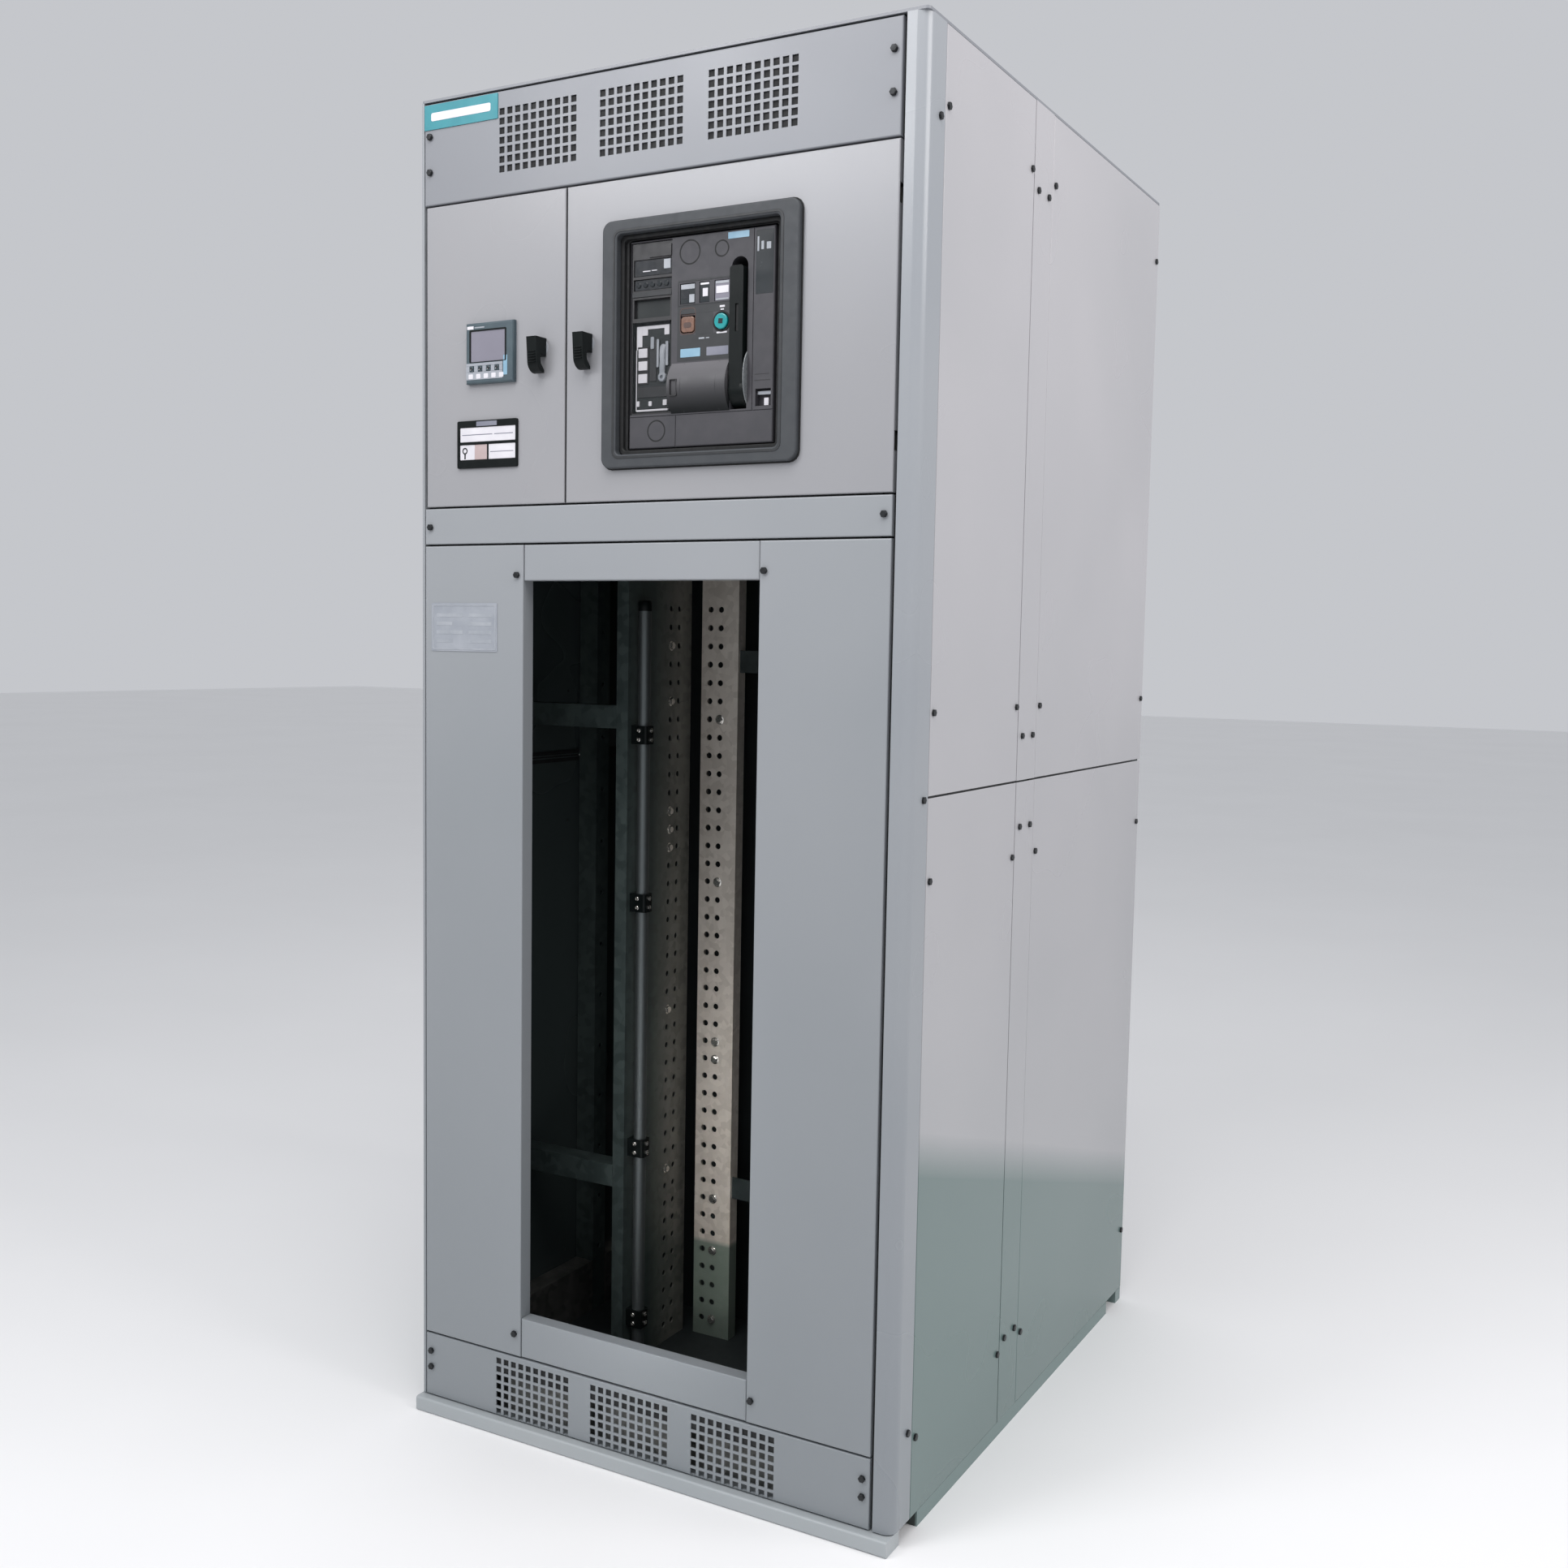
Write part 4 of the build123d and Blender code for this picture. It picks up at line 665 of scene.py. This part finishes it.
bm = bmesh.new()
groove(67.0, 1911.5, 18.5, 16.2)
groove(122.5, 1911.5, 12.5, 10.2)
groove(10.0, 1652.0, 16.5, 14.2)
finish_piece("knockout_groove_shade", bm, "rubber", "breaker", 30)
bm = bmesh.new()
frame_ring(bm, (42.0, 55.0, 1700.0, 1725.0), (43.4, 53.6, 1701.4, 1723.6),
           face - 15.4, face - 13.0, 2.0, 1.2, 0.2)
finish_piece("drum_latch_edge", bm, "case", "breaker", 30)

# drum cover lines and right-hand column
drum_bottom, drum_height = 1677.0, 72.0
drum_middle, drum_half, drum_bulge = 1713.0, 37.2, 15.0
steps = 16
bm = bmesh.new()
for x in (60.5, 122.0):
    arc = []
    for step in range(steps + 1):
        z = drum_bottom + drum_height * (step / steps)
        bulge = drum_bulge * (1 - ((z - drum_middle) / drum_half) ** 2)
        arc.append((face - max(bulge, 0.2) - 0.25, z))
    outline = arc + [(y + 0.6, z) for y, z in reversed(arc)]
    rows = [[bm.verts.new((px, y, z)) for y, z in outline] for px in (x, x + 0.5)]
    for row in rows:
        for i in range(steps):
            bm.faces.new((row[i], row[i + 1], row[-2 - i], row[-1 - i]))
    join_rows(bm, rows)
finish_piece("drum_lines", bm, "face_dark", "breaker", 40)

on_breaker("column_glass", "column", [(181.0, 210.5, 1840.0, 1931.0)], 0.25, 0.5, 1.5)
on_breaker("column_glints", "light_grey",
           [(183.0, 186.0, 1901.0, 1922.0), (189.5, 194.0, 1903.0, 1915.0), (198.5, 206.0, 1903.0, 1913.0)],
           0.45, 0.4, 0.8)
on_breaker("column_ledge", "light_grey", [(184.0, 208.0, 1696.5, 1701.5)], -5.0, 4.0, 0.8)
on_breaker("column_stud", "white_card", [(194.0, 201.5, 1681.0, 1692.0)], -7.0, 4.0, 0.8)
on_breaker("column_line", "case",
           [(181.0, 208.0, 1716.0, 1717.2), (181.0, 206.0, 1725.0, 1726.0)], 0.2, 0.4, 0.3)

# trip unit: display, keypad and the parts behind its clear cover
screen_sides = (unit_left + 4.0, unit_right - 3.0)
on_breaker("unit_display", "display", [(*screen_sides, 1885.0, 1908.0)], -4.2, 0.7, 1.0)
on_breaker("unit_display_glint", "light_grey",
           [(unit_right - 17.0, unit_right - 5.0, 1893.0, 1907.0)], -3.9, 0.5, 1.0)
on_breaker("unit_display_bars", "white_card",
           [(-20.0, -6.0, 1891.0, 1892.4), (-4.0, 6.0, 1891.4, 1892.6)], -3.9, 0.4, 0.3)
on_breaker("unit_keypad", "display", [(*screen_sides, 1864.0, 1879.0)], -5.0, 0.8, 2.0)
bm = bmesh.new()
for k in range(5):
    x = unit_left + 11.0 + k * 12.5
    turned(bm, x, face + 5.0, 1871.5, [(4.0, 0.0), (4.0, 0.9), (3.2, 1.6)], "-Y", 16)
finish_piece("unit_keys", bm, "column", "breaker", 30)
on_breaker("unit_top_block", "face", [(-5.5, unit_right - 3.5, 1912.5, 1927.0)], -1.2, 0.8, 1.0)
on_breaker("unit_ledge", "face_dark",
           [(unit_left + 1.0, unit_right - 1.0, 1853.5, 1861.0)], -1.6, 1.5, 1.0)
on_breaker("unit_field", "inside",
           [(unit_left + 6.0, unit_right - 5.0, 1823.0, 1849.0)], -8.6, 0.8, 1.0)
inner = face + 9.5  # back of the small parts behind the clear cover
cards("unit_backplate", "inside", "breaker",
      [(unit_left + 5.0, unit_right - 4.5, 1687.0, 1812.0)], inner - 1.0, 1.0, 1.0)
cards("unit_sheets", "white_card", "breaker",
      [(-32.0, -22.0, 1776.0, 1811.0), (-22.0, -12.0, 1797.0, 1811.0), (-12.0, 18.0, 1806.0, 1811.0),
       (18.0, 27.0, 1796.0, 1811.0), (-33.0, -31.5, 1684.0, 1776.0)], inner - 2.2, 1.0, 0.6)
cards("unit_windows", "white_card", "breaker",
      [(-28.0, -12.0, 1726.0 + 19.0 * k, 1739.5 + 19.0 * k) for k in range(3)], inner - 3.4, 2.4, 1.0)
cards("unit_frames", "case", "breaker",
      [(-30.0, -10.0, 1724.0 + 19.0 * k, 1742.5 + 19.0 * k) for k in range(3)]
      + [(-8.0, 4.0, 1728.0, 1790.0), (-30.0, 24.0, 1704.0, 1720.0)], inner - 2.2, 1.6, 1.0)
cards("unit_levers", "light_grey", "breaker",
      [(-6.0, 0.0, 1776.0, 1794.0), (5.0, 9.0, 1748.0, 1790.0), (21.0, 26.0, 1750.0, 1786.0)],
      inner - 3.6, 1.4, 1.5)
bm = bmesh.new()
barrel_y, barrel_z, barrel_depth, barrel_half = inner - 0.5, 1757.0, 5.0, 26.0
barrel = [
    (barrel_y + barrel_depth * math.cos(k * math.pi / 8), barrel_z + barrel_half * math.sin(k * math.pi / 8))
    for k in range(16)
]
prism(bm, barrel, 11.0, 20.0, 2.0)
turned(bm, 16.0, inner, 1733.0, [(7.0, 0.0), (7.0, 5.0), (6.0, 6.0), (3.0, 6.0), (3.0, 3.0)], "-Y", 20)
finish_piece("unit_cylinder", bm, "light_grey", "breaker", 40)
cards("unit_connectors", "white_card", "breaker",
      [(-31.0, -26.0, 1691.0, 1699.0), (-9.0, -3.5, 1691.0, 1698.0),
       (17.0, 24.0, 1691.0, 1699.5), (-31.0, 26.0, 1683.0, 1686.0)],
      inner - 3.2, 3.0, 0.8)

# ------------------------------------------------------------------ door bezel: dark stepped inner frame
bm = bmesh.new()
frame_ring(bm, (-55.3, 228.3, 1617.7, 1946.3), (-49.0, 222.0, 1624.0, 1940.0),
           front + 1.0, front + 18.0, 8.0, 6.0, 1.2)
frame_ring(bm, (-49.2, 222.2, 1623.8, 1940.2), (-43.5, 216.5, 1623.5, 1938.5),
           front + 7.0, front + 18.0, 6.0, 4.0, 0.8)
finish_piece("cutout_gasket", bm, "rubber", "breaker_door", 30)
bm = bmesh.new()
frame_ring(bm, (-62.0, 235.0, 1611.0, 1953.0), (-58.2, 231.2, 1614.8, 1949.2),
           front - 10.9, front - 9.5, 12.0, 9.0, 0.5)
finish_piece("bezel_step", bm, "face_dark", "breaker_door", 30)
# A black ring round the bezel on the door face: painted shadow along the bezel's edge.
bm = bmesh.new()
frame_ring(bm, (-84.2, 262.2, 1594.8, 1969.2), (-80.5, 258.5, 1598.5, 1965.5),
           front - 1.8, front - 0.05, 17.5, 14.0, 0.5)
finish_piece("bezel_shadow_ring", bm, "rubber", "breaker_door", 30)

# ------------------------------------------------------------------ meter
def on_meter(name, look, rects, proud, thick=0.5, radius=0.8, edge=0.15):
    """Plates on the panel meter's face."""
    cards(name, look, "metering_door", rects, meter_face - proud, thick, radius, edge)


on_meter("meter_tag", "white_card", [(-347.0, -334.0, 1827.0, 1832.0)], 0.3)
on_meter("meter_tag_line", "light_grey", [(-332.0, -312.0, 1828.4, 1830.4)], 0.3, 0.4, 0.5)
key_x = (-337.5, -320.5, -303.5, -286.5)
strip_edges = [-349.0] + [x + s * 4.8 for x in key_x for s in (-1, 1)] + [-275.0]
on_meter("meter_key_strip", "silver_card",
         [(strip_edges[2 * k], strip_edges[2 * k + 1], 1760.0, 1769.0) for k in range(5)]
         + [(-349.0, -275.0, 1747.5, 1759.8), (-349.0, -275.0, 1769.2, 1773.5)], 0.3, 0.5, 0.3)
on_meter("meter_side_bar", "blue_card", [(-273.5, -265.5, 1752.0, 1783.0)], 0.3)
on_meter("meter_glints", "white_card",
         [(-344.0 + 15.5 * k, -335.0 + 15.5 * k, 1749.0, 1756.5) for k in range(5)], 0.45, 0.3, 1.5)
bm = bmesh.new()
frame_ring(bm, (-342.5, -267.5, 1774.3, 1826.0), (-339.5, -270.5, 1775.5, 1823.5),
           meter_face - 0.6, meter_face + 0.4, 2.0, 1.0, 0.3)
finish_piece("meter_screen_rim", bm, "black", "metering_door", 30)
for number, x in enumerate(key_x, 1):
    bm = bmesh.new()
    turned(bm, x, meter_face - 1.0, 1764.5, [(3.0, -0.3), (3.0, 0.4), (2.2, 0.7), (1.0, 0.4)], "-Y", 20)
    finish_piece(f"meter_key_dish_{number}", bm, "display", f"meter_key_{number}", 30)

# ------------------------------------------------------------------ label panel
lower_cards = (1621.5, 1645.5)
for name, look, sides, rows in (
    ("label_card_top", "white_card", (-366.0, -253.0), (1650.0, 1673.0)),
    ("label_card_right", "white_card", (-307.5, -253.0), lower_cards),
    ("label_card_left", "white_card", (-366.0, -336.0), lower_cards),
    ("label_card_tint", "rose_card", (-336.0, -310.5), lower_cards),
):
    cards(name, look, "metering_door", [(*sides, *rows)], label_face + 1.0, 0.8, 1.0)
cards("label_tab", "grey_card", "metering_door",
      [(-332.0, -290.0, 1674.5, 1682.0)], label_face - 0.3, 0.6, 0.8)
bm = bmesh.new()
turned(bm, -356.0, label_face + 1.0, 1636.0, [(5.2, -0.2), (5.2, 0.35), (3.4, 0.35), (3.4, -0.2)], "-Y", 24)
card(bm, -357.2, -354.6, 1623.0, 1632.0, label_face + 0.6, 0.6, 0.6, 0.1)
finish_piece("label_mark", bm, "black", "metering_door", 30)
cards("label_rules", "grey_card", "metering_door",
      [(-362.0, -300.0, 1660.6, 1662.0), (-296.0, -258.0, 1660.6, 1662.0), (-304.0, -257.0, 1632.6, 1633.8)],
      label_face + 0.7, 0.5, 0.3)

# ------------------------------------------------------------------ handles
for name, door, x in (
    ("metering_handle", "metering_door", -204.0),
    ("breaker_handle", "breaker_door", -115.5),
):
    bm = bmesh.new()
    for k in range(5):
        z = 1765.0 + 4.0 * k
        bar(bm, x - 6.5, x + 6.5, front - 27.0 + (1774.0 - z) * 0.03, front - 23.0, z - 0.6, z + 0.6, 0.5)
    finish_piece(name + "_ribs", bm, "black", name, 30)
    bm = bmesh.new()
    turned(bm, x, front, 1790.0, [(13.0, 0.0), (13.0, 0.25), (12.6, 0.5), (7.5, 0.5), (7.5, 0.0)], "-Y", 40)
    finish_piece(name + "_washer", bm, "light_grey", door, 30)

# ------------------------------------------------------------------ device bay
first_row_z, row_pitch = 160.0, 100.0
rail_front = -97.0


def rail_z(row):
    """Height of a row of perforations; three rows go to 100 mm."""
    return first_row_z + row * row_pitch / 3


bm = bmesh.new()
for row in (2, 8, 9, 19, 20, 22, 31, 34, 11):
    hex_bolt(bm, 164.5, rail_front, rail_z(row), "-Y", 7.0, 0.2 * row)
for row in (-3, 1, 4, 12, 13, 22, 31):
    hex_bolt(bm, -142.5, rail_front, rail_z(row), "-Y", 7.0, 0.3 * row)
finish_piece("rail_bolts", bm, "bright", "cabinet", 30)
bm = bmesh.new()
for row in (6, 15, 24, 25, 26, 32, 35):
    hex_bolt(bm, -206.0, -164.5, rail_z(row), "+X", 7.0, 0.25 * row)
finish_piece("web_bolts", bm, "bright", "cabinet", 30)
rod_x, rod_y = -188.0, -276.0
socket_head = [(4.0, -0.3), (4.0, 2.2), (3.2, 3.0), (1.6, 3.0), (1.4, 1.6)]
bm = bmesh.new()
for z in (120.0, 434.0, 875.0, 1171.0):
    for dz in (-8.0, 8.0):
        turned(bm, rod_x + 14.0, rod_y, z + dz, socket_head, "+X", 16)
        turned(bm, rod_x - 2.0, rod_y - 13.0, z + dz, socket_head, "-Y", 16)
finish_piece("clamp_screws", bm, "bright", "cabinet", 30)
bm = bmesh.new()
cap_angles = [k * math.pi / 12 for k in range(24)]
cap_profile = ((11.6, 1386.0), (12.2, 1388.0), (12.2, 1400.0), (10.5, 1403.5), (4.0, 1404.5))
loops(bm, [
    [(rod_x + radius * math.cos(a), rod_y + radius * math.sin(a), z) for a in cap_angles]
    for radius, z in cap_profile
])
finish_piece("rod_cap", bm, "black", "cabinet", 30)
bm = bmesh.new()
card(bm, 66.0, 72.0, 1291.0, 1371.0, -6.0, 4.0, 1.0, 0.4)
finish_piece("partition_marker", bm, "white_card", "cabinet", 30)

# ------------------------------------------------------------------ door seals, and painted shade in the door gap
# A black strip in the gap between the doors: painted shade, so the gap's lit side walls don't show.
bm = bmesh.new()
card(bm, -158.45, -157.1, 1549.5, 2028.5, front + 1.6, 17.0, 0.5, 0.2)
finish_piece("door_gap_shade_strip", bm, "rubber", "metering_door")
seal_bottom, seal_top, seal_width = 1560.0, 2018.0, 8.0
for door, x0, x1 in (("metering_door", -413.0, -176.0), ("breaker_door", -128.0, 395.0)):
    bm = bmesh.new()
    frame_ring(bm, (x0, x1, seal_bottom, seal_top),
               (x0 + seal_width, x1 - seal_width, seal_bottom + seal_width, seal_top - seal_width),
               front + 2.2, front + 8.0, 6.0, 3.0, 0.3)
    finish_piece(door + "_seal", bm, "rubber", door, 30)

# ------------------------------------------------------------------ studio
floor_mesh = bpy.data.meshes.new("studio_floor")
reach = 30.0
corners = [(-reach, -reach, 0), (reach, -reach, 0), (reach, reach, 0), (-reach, reach, 0)]
floor_mesh.from_pydata(corners, [], [(0, 1, 2, 3)])
floor = bpy.data.objects.new("studio_floor", floor_mesh)
floor_mesh.materials.append(backdrop_floor("studio_floor"))
scene.collection.objects.link(floor)

world = bpy.data.worlds.new("studio")
world.use_nodes = True
background = world.node_tree.nodes["Background"]
background.inputs["Color"].default_value = (0.93, 0.95, 1.0, 1.0)
background.inputs["Strength"].default_value = 0.60
scene.world = world
scene.view_settings.view_transform = "Standard"


def soft_light(name, place, target, width, height, power, colour, spread=180.0):
    """A rectangular lamp at place, turned towards target."""
    data = bpy.data.lights.new(name, "AREA")
    data.shape = "RECTANGLE"
    data.size = width
    data.size_y = height
    data.energy = power
    data.color = colour
    data.spread = math.radians(spread)
    lamp = bpy.data.objects.new(name, data)
    lamp.location = place
    lamp.rotation_euler = (Vector(target) - Vector(place)).to_track_quat("-Z", "Y").to_euler()
    scene.collection.objects.link(lamp)


soft_light("ceiling", (0.5, -2.0, 3.9), (0.2, -0.4, 1.2), 2.6, 1.8, 60.0, (1.0, 0.98, 0.97))
soft_light("front_left", (-1.6, -3.4, 3.4), (0.0, -0.5, 1.5), 1.4, 1.0, 45.0, (0.98, 0.98, 1.0))
soft_light("right_side", (3.4, -0.2, 3.4), (0.45, 0.0, 1.6), 2.4, 1.8, 70.0, (1.0, 0.98, 0.98))
soft_light("into_bay", (0.12, -2.2, 0.95), (-0.04, -0.1, 0.36), 0.14, 0.6, 0.2, (1.0, 0.98, 0.95), 14.0)
